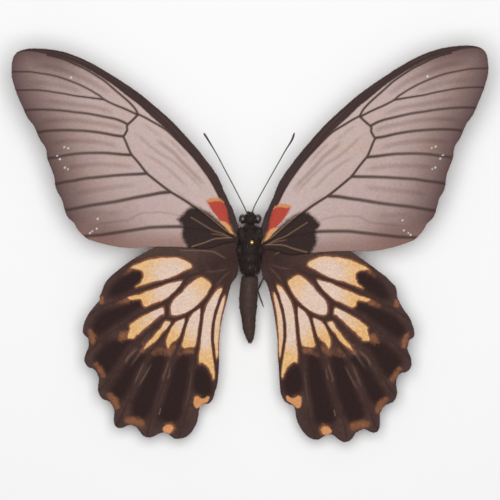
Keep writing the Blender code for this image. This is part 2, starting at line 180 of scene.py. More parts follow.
class Bench:
    """The workbench: the editing steps that every piece goes through."""

    @staticmethod
    def clear_hands() -> None:
        """Deselects everything."""
        bpy.ops.object.select_all(action="DESELECT")

    @staticmethod
    def take(item: bpy.types.Object) -> None:
        """Selects one object alone and makes it active."""
        Bench.clear_hands()
        item.select_set(True)
        bpy.context.view_layer.objects.active = item

    @staticmethod
    def added(name: str) -> bpy.types.Object:
        """Names the primitive that was just added."""
        item = bpy.context.active_object
        item.name = name
        item.data.name = name
        return item

    @staticmethod
    def apply_all(item: bpy.types.Object) -> None:
        """Applies every modifier in its order."""
        Bench.take(item)
        for modifier in list(item.modifiers):
            bpy.ops.object.modifier_apply(modifier=modifier.name)

    @staticmethod
    def settle(item: bpy.types.Object) -> None:
        """Moves the object's place into its mesh."""
        Bench.take(item)
        bpy.ops.object.transform_apply(location=True, rotation=True, scale=True)

    @staticmethod
    def points_of(item: bpy.types.Object) -> np.ndarray:
        """Reads a mesh's points."""
        flat = np.empty(len(item.data.vertices) * 3)
        item.data.vertices.foreach_get("co", flat)
        return flat.reshape(-1, 3)

    @staticmethod
    def move_points(item: bpy.types.Object, places: np.ndarray) -> None:
        """Sets a mesh's points."""
        item.data.vertices.foreach_set("co", places.astype(np.float32).ravel())
        item.data.update()

    @staticmethod
    def paint(item: bpy.types.Object, name: str, values: np.ndarray) -> None:
        """Stores one number a point under a name that a material reads."""
        layer = item.data.attributes.new(name, "FLOAT", "POINT")
        layer.data.foreach_set("value", values.astype(np.float32))

    @staticmethod
    def smooth(item: bpy.types.Object) -> None:
        """Shades the whole piece smooth."""
        item.data.polygons.foreach_set("use_smooth", [True] * len(item.data.polygons))

    @staticmethod
    def from_triangles(name: str, places: np.ndarray, triangles: np.ndarray) -> bpy.types.Object:
        """Makes an object from copied points and triangles."""
        mesh = bpy.data.meshes.new(name)
        mesh.vertices.add(len(places))
        mesh.vertices.foreach_set("co", places.astype(np.float32).ravel())
        mesh.loops.add(len(triangles) * 3)
        mesh.loops.foreach_set("vertex_index", triangles.astype(np.int32).ravel())
        mesh.polygons.add(len(triangles))
        mesh.polygons.foreach_set("loop_start", np.arange(0, len(triangles) * 3, 3, dtype=np.int32))
        mesh.update(calc_edges=True)
        item = bpy.data.objects.new(name, mesh)
        bpy.context.scene.collection.objects.link(item)
        Bench.smooth(item)
        return item

    @staticmethod
    def tube(
        name: str, line: np.ndarray, radii: np.ndarray, sides: int = 8
    ) -> bpy.types.Object:
        """Draws a tapering tube along a line.

        Args:
            name: The object's name.
            line: Points in metres.
            radii: A radius for each point, in metres.
            sides: Corners of the tube's section.

        Returns:
            The tube as a closed mesh.
        """
        curve = bpy.data.curves.new(name, "CURVE")
        curve.dimensions = "3D"
        curve.bevel_depth = 1.0
        curve.bevel_resolution = max(0, sides // 2 - 2)
        curve.use_fill_caps = True
        spline = curve.splines.new("POLY")
        spline.points.add(len(line) - 1)
        for point, place, radius in zip(spline.points, line, radii):
            point.co = (*place, 1.0)
            point.radius = radius
        item = bpy.data.objects.new(name, curve)
        bpy.context.scene.collection.objects.link(item)
        Bench.take(item)
        bpy.ops.object.convert(target="MESH")
        item = bpy.context.active_object
        bpy.ops.object.mode_set(mode="EDIT")
        bpy.ops.mesh.select_all(action="SELECT")
        bpy.ops.mesh.remove_doubles(threshold=1e-7)
        bpy.ops.mesh.normals_make_consistent(inside=False)
        bpy.ops.object.mode_set(mode="OBJECT")
        Bench.smooth(item)
        return item

    @staticmethod
    def join(name: str, items: list[bpy.types.Object]) -> bpy.types.Object:
        """Joins objects into one piece and names it."""
        Bench.clear_hands()
        for item in items:
            item.select_set(True)
        bpy.context.view_layer.objects.active = items[0]
        if len(items) > 1:
            bpy.ops.object.join()
        items[0].name = name
        items[0].data.name = name
        return items[0]

    @staticmethod
    def dress(item: bpy.types.Object, material: bpy.types.Material) -> None:
        """Gives a piece its one material."""
        item.data.materials.clear()
        item.data.materials.append(material)

    @staticmethod
    def hand_over(item: bpy.types.Object, slot: str, *nodes: str) -> None:
        """Puts a finished piece on the body, in place of the solids it stands for.

        Whatever would reach below the floor is pressed flat just above it.
        """
        places = Bench.points_of(item)
        places[:, 2] = np.maximum(places[:, 2], FLOOR_GAP)
        Bench.move_points(item, places)
        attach(item, BODY)
        if nodes:
            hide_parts(*nodes)
        LOG.info("%s: %d faces", item.name, len(item.data.polygons))


class Graph:
    """A node tree with short ways to add and link nodes."""

    def __init__(self, tree: bpy.types.NodeTree) -> None:
        """Takes the tree to work on."""
        self.tree = tree

    def add(self, kind: str, **settings: object) -> bpy.types.Node:
        """Adds a node and sets its options."""
        node = self.tree.nodes.new(kind)
        for name, value in settings.items():
            setattr(node, name, value)
        return node

    def feed(self, socket: bpy.types.NodeSocket, value: object) -> None:
        """Links a socket to another, or sets its number or colour."""
        if isinstance(value, bpy.types.NodeSocket):
            self.tree.links.new(value, socket)
        elif value is not None:
            socket.default_value = value

    def math(
        self, operation: str, first: object, second: object = None, clamp: bool = False
    ) -> bpy.types.NodeSocket:
        """Adds a Math node on one or two values."""
        node = self.add("ShaderNodeMath", operation=operation, use_clamp=clamp)
        self.feed(node.inputs[0], first)
        self.feed(node.inputs[1], second)
        return node.outputs[0]

    def mix(
        self, share: object, first: object, second: object, blend: str = "MIX"
    ) -> bpy.types.NodeSocket:
        """Adds a colour Mix node."""
        node = self.add("ShaderNodeMix", data_type="RGBA", blend_type=blend, clamp_factor=True)
        self.feed(node.inputs[0], share)
        self.feed(node.inputs[6], first)
        self.feed(node.inputs[7], second)
        return node.outputs[2]

    def painted(self, name: str) -> bpy.types.NodeSocket:
        """Reads a painted mask."""
        return self.add("ShaderNodeAttribute", attribute_name=name).outputs["Fac"]

    def place(self, turn: float = 0.0, stretch: tuple[float, float, float] = (1, 1, 1)) -> bpy.types.NodeSocket:
        """Reads the point on the piece, turned about the vertical and stretched."""
        spot = self.add("ShaderNodeTexCoord").outputs["Object"]
        mapping = self.add("ShaderNodeMapping")
        mapping.inputs["Rotation"].default_value = (0, 0, turn)
        mapping.inputs["Scale"].default_value = stretch
        self.feed(mapping.inputs["Vector"], spot)
        return mapping.outputs[0]

    def noise(
        self, spot: object, size_mm: float, detail: float = 2.0, rough: float = 0.5
    ) -> bpy.types.NodeSocket:
        """Adds noise whose lumps are about size_mm across."""
        node = self.add("ShaderNodeTexNoise")
        self.feed(node.inputs["Vector"], spot)
        node.inputs["Scale"].default_value = 1 / (size_mm * MM)
        node.inputs["Detail"].default_value = detail
        node.inputs["Roughness"].default_value = rough
        return node.outputs["Fac"]

    def range(
        self, value: object, low: float, high: float, to_low: float = 0.0, to_high: float = 1.0
    ) -> bpy.types.NodeSocket:
        """Maps low..high smoothly onto to_low..to_high."""
        node = self.add("ShaderNodeMapRange", interpolation_type="SMOOTHSTEP")
        self.feed(node.inputs["Value"], value)
        node.inputs["From Min"].default_value = low
        node.inputs["From Max"].default_value = high
        node.inputs["To Min"].default_value = to_low
        node.inputs["To Max"].default_value = to_high
        return node.outputs["Result"]

    def ramp(self, value: object, stops: list[tuple[float, Colour]]) -> bpy.types.NodeSocket:
        """Adds a colour ramp."""
        node = self.add("ShaderNodeValToRGB")
        ramp = node.color_ramp
        while len(ramp.elements) < len(stops):
            ramp.elements.new(0.5)
        for element, (position, colour) in zip(ramp.elements, stops):
            element.position = position
            element.color = colour
        self.feed(node.inputs["Fac"], value)
        return node.outputs["Color"]

    def group(self, tree: bpy.types.NodeTree, **inputs: object) -> bpy.types.Node:
        """Places a node group and feeds its inputs by name, with _ for a space."""
        node = self.add("ShaderNodeGroup", node_tree=tree)
        for name, value in inputs.items():
            self.feed(node.inputs[name.replace("_", " ")], value)
        return node


class Groups:
    """The effects that several finishes share, each built once as a node group."""

    def __init__(self) -> None:
        """Builds every group."""
        self.grain = self._grain()
        self.ragged = self._ragged()
        self.hair = self._hair()
        self.horn = self._horn()

    @staticmethod
    def _new(name: str, inputs: dict[str, float | None], outputs: dict[str, str]) -> bpy.types.NodeTree:
        """Starts a group with number or vector inputs and the named outputs.

        Args:
            name: The group's name.
            inputs: Each input's default number, or None for a vector.
            outputs: Each output's socket kind.

        Returns:
            The new tree, with its input and output nodes.
        """
        tree = bpy.data.node_groups.new(name, "ShaderNodeTree")
        for label, default in inputs.items():
            kind = "NodeSocketVector" if default is None else "NodeSocketFloat"
            socket = tree.interface.new_socket(label, in_out="INPUT", socket_type=kind)
            if default is not None:
                socket.default_value = default
        for label, kind in outputs.items():
            tree.interface.new_socket(label, in_out="OUTPUT", socket_type=kind)
        tree.nodes.new("NodeGroupInput")
        tree.nodes.new("NodeGroupOutput")
        return tree

    def _ends(self, tree: bpy.types.NodeTree) -> tuple[Graph, bpy.types.Node, bpy.types.Node]:
        """Gives a group's graph with its input and output nodes."""
        return Graph(tree), tree.nodes["Group Input"], tree.nodes["Group Output"]

    def _grain(self) -> bpy.types.NodeTree:
        """Overlapping wing scales: a shade around 1 and a height."""
        tree = self._new(
            "scale_grain",
            {"Vector": None, "Contrast": 0.3},
            {"Shade": "NodeSocketFloat", "Height": "NodeSocketFloat", "Sparkle": "NodeSocketFloat"},
        )
        graph, given, result = self._ends(tree)
        cells = graph.add("ShaderNodeTexVoronoi", feature="F1")
        graph.feed(cells.inputs["Vector"], given.outputs["Vector"])
        cells.inputs["Scale"].default_value = 1 / (0.16 * MM)
        tint = graph.add("ShaderNodeSeparateColor")
        graph.feed(tint.inputs[0], cells.outputs["Color"])
        soft = graph.noise(given.outputs["Vector"], 0.7, 3.0, 0.6)
        speck = graph.math("ADD", graph.math("MULTIPLY", tint.outputs[0], 0.6), graph.math("MULTIPLY", soft, 0.8))
        centred = graph.math("SUBTRACT", speck, 0.7)
        graph.feed(
            result.inputs["Shade"],
            graph.math("ADD", graph.math("MULTIPLY", centred, given.outputs["Contrast"]), EVEN_SHADE),
        )
        graph.feed(result.inputs["Height"], graph.math("SUBTRACT", 1.0, cells.outputs["Distance"]))
        graph.feed(result.inputs["Sparkle"], graph.range(tint.outputs[1], 0.9, 0.97))
        return tree

    def _ragged(self) -> bpy.types.NodeTree:
        """A patch's edge broken up by single scales: the mask from a depth in millimetres."""
        tree = self._new(
            "ragged_edge",
            {"Depth": 0.0, "Rag": 0.5, "Softness": 0.2},
            {"Mask": "NodeSocketFloat"},
        )
        graph, given, result = self._ends(tree)
        spot = graph.place()
        cells = graph.noise(spot, 0.22, 2.0, 0.7)
        lumps = graph.noise(spot, 0.9, 1.0, 0.5)
        both = graph.math("ADD", graph.math("MULTIPLY", cells, 1.3), graph.math("MULTIPLY", lumps, 0.5))
        shift = graph.math("MULTIPLY", graph.math("SUBTRACT", both, 0.9), given.outputs["Rag"])
        depth = graph.math("ADD", given.outputs["Depth"], graph.math("MULTIPLY", shift, 2.0))
        share = graph.math("DIVIDE", depth, given.outputs["Softness"])
        graph.feed(result.inputs["Mask"], graph.math("ADD", share, 0.5, clamp=True))
        return tree

    def _hair(self) -> bpy.types.NodeTree:
        """A hair's shade from its own tone and from root to tip."""
        tree = self._new(
            "hair_shade",
            {"Tone": 0.5, "Along": 0.5},
            {"Share": "NodeSocketFloat", "Roughness": "NodeSocketFloat"},
        )
        graph, given, result = self._ends(tree)
        tipped = graph.math("MULTIPLY", graph.math("POWER", given.outputs["Along"], 1.6), 0.45)
        share = graph.math("ADD", graph.math("MULTIPLY", given.outputs["Tone"], 0.8), tipped, clamp=True)
        graph.feed(result.inputs["Share"], share)
        graph.feed(result.inputs["Roughness"], graph.range(given.outputs["Tone"], 0.0, 1.0, 0.75, 0.45))
        return tree

    def _horn(self) -> bpy.types.NodeTree:
        """The fine pitting of horn: a shade around 1 and a height."""
        tree = self._new(
            "horn_pits",
            {"Size": 1.0},
            {"Shade": "NodeSocketFloat", "Height": "NodeSocketFloat"},
        )
        graph, given, result = self._ends(tree)
        spot = graph.place()
        sized = graph.add("ShaderNodeVectorMath", operation="SCALE")
        graph.feed(sized.inputs[0], spot)
        graph.feed(sized.inputs["Scale"], given.outputs["Size"])
        fine = graph.noise(sized.outputs[0], 0.08, 3.0, 0.6)
        broad = graph.noise(sized.outputs[0], 0.6, 2.0, 0.5)
        graph.feed(result.inputs["Height"], fine)
        graph.feed(result.inputs["Shade"], graph.math("ADD", graph.math("MULTIPLY", broad, 0.7), 0.65))
        return tree


@dataclass(frozen=True)
class Stroke:
    """A line painted along a wing.

    Attributes:
        text: The line's points.
        half_width: Half the width of its full colour, in millimetres.
        softness: The width over which its edge fades, in millimetres.
        strength: Its greatest value.
        paper: What the points were drawn on.
        fade: The share of its length over which each end fades.
    """

    text: str
    half_width: float
    softness: float
    strength: float = 1.0
    paper: Paper = Paper.MILLIMETRES
    fade: float = 0.0

    def line(self) -> np.ndarray:
        """Gives the smooth line in millimetres."""
        return smooth_line(drawn(self.text, self.paper), parts=3)

    def mask(self, at: np.ndarray) -> np.ndarray:
        """Gives the stroke's value at each point."""
        far, along = line_distance(at, self.line())
        value = 1.0 - ease(far, self.half_width, self.half_width + self.softness)
        if self.fade:
            value *= ease(along, 0.0, self.fade) * ease(1.0 - along, 0.0, self.fade)
        return value * self.strength


@dataclass(frozen=True)
class Vein:
    """A raised vein: its line, its radius at the root and at the margin, and how dark it stands out."""

    text: str
    root_radius: float
    tip_radius: float
    strength: float = 1.0
    softness: float = 0.3
    paper: Paper = Paper.MILLIMETRES
    tip_strength: float = 1.0

    def line(self) -> np.ndarray:
        """Gives the smooth line in millimetres."""
        return smooth_line(drawn(self.text, self.paper), parts=3)

    def mask(self, at: np.ndarray) -> np.ndarray:
        """Gives the vein's colour strength at each point."""
        far, along = line_distance(at, self.line())
        radius = self.root_radius + (self.tip_radius - self.root_radius) * along
        value = 1.0 - ease(far, radius * 0.7, radius * 0.7 + self.softness)
        return value * self.strength * (1.0 + (self.tip_strength - 1.0) * along)


@dataclass(frozen=True)
class Patch:
    """An area of another colour inside a closed ring."""

    text: str
    paper: Paper = Paper.MILLIMETRES

    def depth(self, at: np.ndarray) -> np.ndarray:
        """Gives the depth inside the patch in millimetres, below zero outside."""
        return depth_inside(at, smooth_line(drawn(self.text, self.paper), closed=True, parts=3))


@dataclass(frozen=True)
class Glow:
    """A soft round tint: its middle, its reach in millimetres and its strength."""

    u: float
    v: float
    reach: float
    strength: float = 1.0

    def mask(self, at: np.ndarray) -> np.ndarray:
        """Gives the tint at each point."""
        far = np.hypot(at[:, 0] - self.u, at[:, 1] - self.v)
        return self.strength * np.exp(-((far / self.reach) ** 2))


@dataclass(frozen=True)
class Setting:
    """How a wing stands beside its drawing: a 2 x 2 stretch and a shift in millimetres."""

    rows: tuple[tuple[float, float], tuple[float, float]] = ((1.0, 0.0), (0.0, 1.0))
    shift: tuple[float, float] = (0.0, 0.0)

    def place(self, at: np.ndarray) -> np.ndarray:
        """Moves drawn points to where they stand."""
        return at @ np.array(self.rows).T + np.array(self.shift)

    def back(self, at: np.ndarray) -> np.ndarray:
        """Moves standing points back to the drawing."""
        return (at - np.array(self.shift)) @ np.linalg.inv(np.array(self.rows)).T


FOLD_LINE = -2.0
RISE_OUTWARDS = 0.012
RISE_FORWARDS = 0.043
DROP_BACKWARDS = 0.055
NEAREST_ROOT = 3.0

FOREWING_OUTLINE = (
    "2.9,3.4 3.4,4.8 3.9,6.1 4.3,7.3 4.75,8.7 5.4,9.8 6.0,11.1 6.5,12.3 7.2,13.6 7.6,14.8 8.1,15.9 "
    "8.75,17.4 9.4,18.3 10.4,19.85 12.0,21.85 13.6,23.9 16.2,26.95 18.85,29.85 21.5,32.6 25.0,35.7 "
    "28.9,39.0 32.65,41.7 37.3,44.7 41.9,47.45 46.0,49.5 50.0,50.95 54.0,51.8 58.8,52.1 61.35,51.8 "
    "63.4,50.9 64.4,49.3 64.7,47.0 64.75,45.0 64.5,43.5 63.4,40.0 62.0,36.7 60.75,33.9 59.85,32.5 "
    "58.85,31.3 58.2,30.0 57.0,27.3 55.8,25.6 55.3,24.3 55.1,22.3 54.35,20.3 53.3,17.7 52.9,14.9 "
    "52.35,13.15 51.2,11.25 50.65,9.4 50.1,7.35 49.2,5.9 47.8,4.65 47.1,3.25 46.1,2.05 44.45,0.55 "
    "42.0,-0.4 38.0,-1.45 34.0,-2.05 30.0,-2.05 25.0,-1.8 20.0,-1.85 16.0,-2.1 12.2,-2.3 10.0,-2.0 "
    "8.2,-1.3 6.2,-0.7 4.2,-0.5 3.1,-0.4 3.0,1.4"
)
LEFT_HINDWING_OUTLINE = (
    "3.3,-1.6 4.7,0.3 7.5,1.6 11.5,2.1 15.5,1.9 19.5,0.9 23.0,-0.5 25.2,-1.7 27.8,-3.0 31.15,-4.85 "
    "34.35,-7.05 37.8,-9.85 39.35,-11.7 40.1,-13.4 40.5,-14.6 40.9,-15.2 40.8,-16.0 41.25,-16.8 "
    "42.25,-18.0 43.8,-19.95 44.9,-22.0 45.45,-24.0 45.4,-25.3 44.75,-26.15 44.0,-27.0 43.9,-28.1 "
    "44.0,-29.4 44.5,-30.45 44.95,-31.7 45.1,-32.5 44.9,-33.5 44.4,-34.25 43.7,-34.8 42.9,-34.95 "
    "42.25,-35.45 41.75,-36.2 41.3,-37.1 41.1,-38.0 41.3,-39.4 41.4,-40.6 41.2,-41.7 40.7,-42.7 "
    "39.95,-43.5 38.7,-43.85 38.0,-44.35 37.4,-45.2 37.0,-46.1 36.95,-47.5 37.1,-48.9 36.9,-50.3 "
    "36.3,-51.05 35.4,-51.35 34.2,-51.0 33.2,-50.55 32.2,-50.55 31.1,-51.0 30.3,-51.8 29.5,-53.0 "
    "28.55,-53.7 27.4,-53.9 26.2,-53.6 25.0,-52.95 24.0,-52.6 23.0,-52.5 22.0,-53.1 21.2,-53.8 "
    "20.3,-54.25 19.0,-54.2 17.65,-53.85 16.4,-52.95 15.4,-51.65 14.5,-49.9 14.1,-48.3 13.9,-46.7 "
    "13.45,-45.4 12.45,-44.8 11.2,-44.6 10.4,-43.85 9.9,-42.8 9.5,-41.4 9.0,-39.9 8.7,-38.0 "
    "8.55,-36.0 8.4,-33.0 8.4,-30.0 8.3,-27.0 8.0,-24.0 7.5,-21.2 6.9,-18.9 6.4,-17.0 5.9,-15.0 "
    "5.4,-13.2 5.0,-11.9 4.3,-10.9 3.5,-9.8 3.2,-8.8 3.15,-7.0 3.25,-4.2"
)
RIGHT_HINDWING_OUTLINE = (
    "3.35,-1.6 4.7,0.2 7.5,1.5 11.5,1.9 15.5,1.6 19.5,0.6 23.0,-0.8 25.2,-1.9 27.3,-3.0 29.2,-4.2 "
    "31.05,-5.55 33.0,-6.95 35.0,-8.45 37.0,-9.9 37.95,-10.85 38.8,-11.7 39.4,-12.3 39.85,-13.05 "
    "40.1,-14.0 40.1,-14.8 40.25,-15.6 40.55,-16.4 41.1,-17.5 41.85,-18.75 42.7,-19.95 43.5,-21.05 "
    "44.1,-22.35 44.55,-23.75 44.85,-25.0 44.85,-26.0 44.55,-26.6 43.85,-27.05 43.4,-27.45 "
    "43.3,-28.1 43.1,-28.9 42.95,-29.5 43.1,-30.15 43.45,-31.1 43.9,-32.05 44.1,-33.0 44.1,-34.05 "
    "43.75,-35.05 43.1,-35.75 42.25,-36.1 41.5,-36.2 40.9,-36.55 40.4,-37.2 40.05,-38.0 39.95,-39.0 "
    "40.0,-40.0 40.2,-41.0 40.2,-42.0 39.95,-42.95 39.5,-43.75 38.8,-44.35 37.95,-44.65 37.2,-45.0 "
    "36.5,-45.6 35.95,-46.4 35.65,-47.2 35.5,-48.1 35.5,-49.3 35.5,-50.5 35.3,-51.5 34.8,-52.3 "
    "34.0,-52.6 33.0,-52.4 32.2,-51.9 31.0,-51.55 30.05,-52.0 29.15,-52.45 28.6,-53.1 28.15,-53.95 "
    "27.5,-54.6 26.8,-55.0 25.95,-55.2 25.05,-54.9 24.3,-54.4 23.5,-53.75 22.8,-53.2 22.0,-53.0 "
    "21.15,-53.15 20.45,-53.45 19.9,-53.8 19.3,-54.2 18.8,-54.45 17.9,-54.45 16.9,-54.25 16.0,-53.75 "
    "15.25,-53.05 14.6,-52.3 13.9,-51.3 13.35,-50.2 12.9,-49.1 12.65,-47.95 12.5,-46.75 12.3,-45.9 "
    "11.9,-45.2 11.0,-44.9 10.2,-44.5 9.6,-44.0 9.05,-43.25 8.7,-42.35 8.4,-41.2 8.3,-40.0 "
    "8.2,-38.5 8.1,-37.0 8.0,-35.3 7.85,-33.5 7.7,-31.5 7.65,-29.5 7.65,-27.5 7.45,-25.5 7.2,-23.4 "
    "6.85,-21.1 6.4,-18.4 5.75,-15.7 5.2,-13.3 4.7,-11.9 4.1,-10.9 3.5,-9.8 3.3,-8.8 3.25,-7.0 "
    "3.35,-4.2"
)

# Where the outer margin of each wing runs, from its front corner to its rear one.
FOREWING_MARGIN = "53,52.6 58.8,52.3 62.5,51.8 64.6,49.3 64.9,46 64.5,43.5 62,36.7 58.8,31.3 56.4,26.5 " \
    "54.9,21.5 53.1,16 51.8,12 50.3,7.6 47.9,4.5 45.2,0.9 41.5,-0.9"
HINDWING_MARGIN = "37,-9 40.4,-14.6 42.2,-18 44.9,-22.5 44.8,-27 44.6,-31 43.9,-34.5 41.9,-36.5 41.3,-41 " \
    "39.4,-43.7 37.2,-46.5 36.8,-50.5 33.5,-51 30.3,-52 28,-53.9 23.5,-52.9 19.6,-54.3 16.4,-52.9 " \
    "14.3,-49.5 13.3,-45.3 10.4,-43.9"

SQUARED = Paper.SQUARES
FOREWING_VEINS = (
    Vein(
        "138,114 135,108.5 130,103 125,98.5 115,90 105,81.5 95,75 85,69 75,64.5 65,60 55,57 48,55.5",
        0.24, 0.16, 1.0, 0.3, SQUARED,
    ),
    Vein(
        "138,115 125,109 115,105 104.5,99.8 100,96 95,93 90,90 80,85 70,81 60,77.5 50,75 40,73.5 30,72 "
        "20,72 12.5,72",
        0.24, 0.15, 1.0, 0.3, SQUARED, 0.75,
    ),
    Vein(
        "104.5,99.8 95,98.5 85,97.2 75,96 65,94 55,92.5 45,91 35,90.3 25,90.3 17,90.5",
        0.21, 0.15, 1.0, 0.3, SQUARED, 0.75,
    ),
    Vein(
        "127,124 122,121.5 115,119 105,117 95,115 85,113.3 75,112.3 65,111 55,110.2 45,109.8 35,109.8 26,110.5",
        0.24, 0.18, 1.0, 0.42, SQUARED, 0.75,
    ),
    Vein(
        "123.5,136.5 115,135.5 105,133.5 95,132 85,131 75,130.5 65,130.3 55,130.5 45,131.3 37,133",
        0.26, 0.2, 1.0, 0.46, SQUARED, 0.75,
    ),
    Vein(
        "131,155 122,154.5 115,153.8 105,153 95,153 85,153.2 75,154 65,155.5 55,157.5 48,158.5",
        0.26, 0.2, 1.0, 0.5, SQUARED, 0.7,
    ),
    Vein(
        "147,173.5 140,174 130,174.5 115,175.5 100,177 85,178.5 75,180.5 65,182 56,184",
        0.24, 0.2, 1.0, 0.55, SQUARED, 0.75,
    ),
    Vein(
        "170,192 160,193 150,195 140,196.7 130,198.7 115,201.7 100,204 90,205.5 80,207.5 70,209.5 65,210",
        0.28, 0.22, 1.0, 0.6, SQUARED, 0.75,
    ),
    Vein(
        "233,237 223,233.5 210,230.5 200,228.8 190,228 180,226.7 170,226.7 160,227 150,227.5 140,229 "
        "130,230.5 120,232 110,233.5 100,235 90,235.7 84,236.3",
        0.3, 0.2, 1.0, 0.6, SQUARED, 0.8,
    ),
    Vein(
        "233,237 225,231 215,222.5 205,215 195,207.5 185,200.5 175,194.5 170,191.5 160,184 150,176 "
        "147,173.5 140,164.5 135,158.5 131.5,154.5 128,147 126,142 123.5,137",
        0.36, 0.24, 1.0, 0.3, SQUARED,
    ),
    Vein(
        "123.5,136.5 125,134.5 127.3,130 127,127 128,124.5 132,121 136,117 138.5,114.5",
        0.28, 0.28, 1.0, 0.28, SQUARED,
    ),
    Vein(
        "138.5,114.5 145,117.5 152,121.5 160,126 167,130.5 175,138 185,148 195,159 205,172 212,182 218,193 "
        "223,205 228,218 233,232",
        0.22, 0.3, 1.0, 0.3, SQUARED,
    ),
)
FOREWING_FOLDS = (
    Stroke("20,66 40,66 50,67 60,69.5 70,73 80,77 90,81.5 100,87.5 107,92 112,96", 0.1, 1.1, 0.6, SQUARED, 0.2),
    Stroke("20,83 40,83 50,84 60,86 70,88.5 77,91 85,94", 0.1, 1.0, 0.5, SQUARED, 0.2),
    Stroke("30,101 50,101.5 60,102.5 70,104 80,105.5 90,106.5 100,108.5 110,112 116,115", 0.1, 1.0, 0.62,
           SQUARED, 0.2),
    Stroke("36,123.5 45,121.5 55,120.5 65,120.2 75,120.5 85,121.5 95,123 105,124.5 115,126.5 122,129 126,131",
           0.1, 1.0, 0.62, SQUARED, 0.15),
    Stroke("48,144.5 55,143 65,141.5 75,141 85,141.2 95,142 105,143.5 115,146 120,148", 0.1, 1.0, 0.62, SQUARED,
           0.2),
    Stroke("60,171 70,167.5 80,166 90,165 100,164.5 110,165 120,165.5 130,167 135,168.5", 0.1, 1.0, 0.55,
           SQUARED, 0.2),
    Stroke("70,196 80,193 90,191 100,189.5 110,188 120,186.5 130,185.5 140,185", 0.1, 1.1, 0.5, SQUARED, 0.2),
    Stroke("90,226 100,224 110,222.5 120,221 130,219.5 140,213.5 150,212.8 160,212.2 170,213.5 180,215.8 "
           "190,217.5", 0.05, 0.4, 0.5, SQUARED, 0.15),
    Stroke("90,214 100,213 112,213 125,212", 0.1, 1.0, 0.4, SQUARED, 0.3),
    Stroke("153,137 160,142 165,146 170,150 175,154 180,160 185,165 190,170 195,175 200,180 208,190", 0.15,
           0.75, 0.75, SQUARED, 0.15),
    Stroke("130,130 140,137 150,146 155,150 162,155 170,159 178,165 185,171 190,176 197,183 205,195", 0.12, 0.6,
           0.55, SQUARED, 0.15),
    Stroke("140,150 150,157 155,159.5 162,164 170,170.5 177,177 183,183 190,188", 0.12, 0.6, 0.5, SQUARED, 0.2),
    Stroke("166,138 172,142.5 178,148 183,153.5 190,161", 0.1, 0.6, 0.5, SQUARED, 0.3),
    Stroke("140,122 148,127 156,133 164,140", 0.1, 0.8, 0.4, SQUARED, 0.3),
)
FOREWING_PALE_LINES = (
    Stroke("5,0.6 8,0.5 10,0.2 12,-0.6 15.8,-1.8", 0.03, 0.2, 0.8),
    Stroke("5.2,0.6 7.5,1.8 10,2.6 12,3.8 14,5 16,6.2", 0.03, 0.18, 0.7),
    Stroke("5,1.6 7,3 9,4.7 11,6.4 13,8 15,9.6 18,11.9 21.5,14.3", 0.05, 0.16, 0.75, fade=0.1),
    Stroke("3.8,1.2 4.6,2.4 5.2,4.0", 0.08, 0.25, 0.7),
    Stroke("4.2,0.3 6,1.0 8.5,1.5 11,1.7", 0.03, 0.2, 0.5, fade=0.2),
)
COSTA_INNER_EDGE = (
    "231,238 228.5,225 224.5,215 221,203 216,192 210,181 203,170 193,157 183,146.5 173,136 168,131 160,124 "
    "150,115.5 140,106 130,98.5 120,90.5 110,83 100,76.5 90,70.5 80,65.5 70,61.5 60,58 50,55.3 40,53 30,51.7 "
    "22,52 16,54 10,57 -5,60 -5,20 120,20 255,120 255,238"
)
BLACK_BASE = (
    "2,-4 2,2 5,2.7 8,5 11,7.3 13.5,8.8 15.5,9.1 17,8.4 18.6,6.7 19.6,5.6 18.9,4.6 18.2,3.4 18.6,1.4 18.3,0.3 "
    "17.6,-0.8 17,-2 16.5,-4"
)
RED_PATCH = (
    "11.5,10.3 10.4,10.3 9.3,10.6 7.6,10.4 6.6,9.2 6.1,7.5 5.8,5.8 5.4,4.2 4.9,2.9 6.2,3.8 8,5.4 9.6,7.1 "
    "10.8,9.0"
)
ORANGE_EDGE = "11.9,10.6 10.6,11.3 9,11.6 7.6,11.0 7.0,9.8 9.3,10.0 11,9.6"
YELLOW_ROOT = "6.6,4.9 5.5,3.9 4.9,2.6 4.4,1.6 5.4,2.0 6.8,3.6 8.2,5.0"
FOREWING_FLECKS = (
    "48.6,44.2,0.16 50.5,25.3,0.12 51.7,22,0.14 50.3,19.7,0.14 49.5,19.3,0.1 43.5,1.9,0.14 41.7,3.1,0.12 "
    "41.4,5.8,0.12 52.4,22.9,0.1 49.4,25.0,0.1 42.9,2.4,0.1"
)

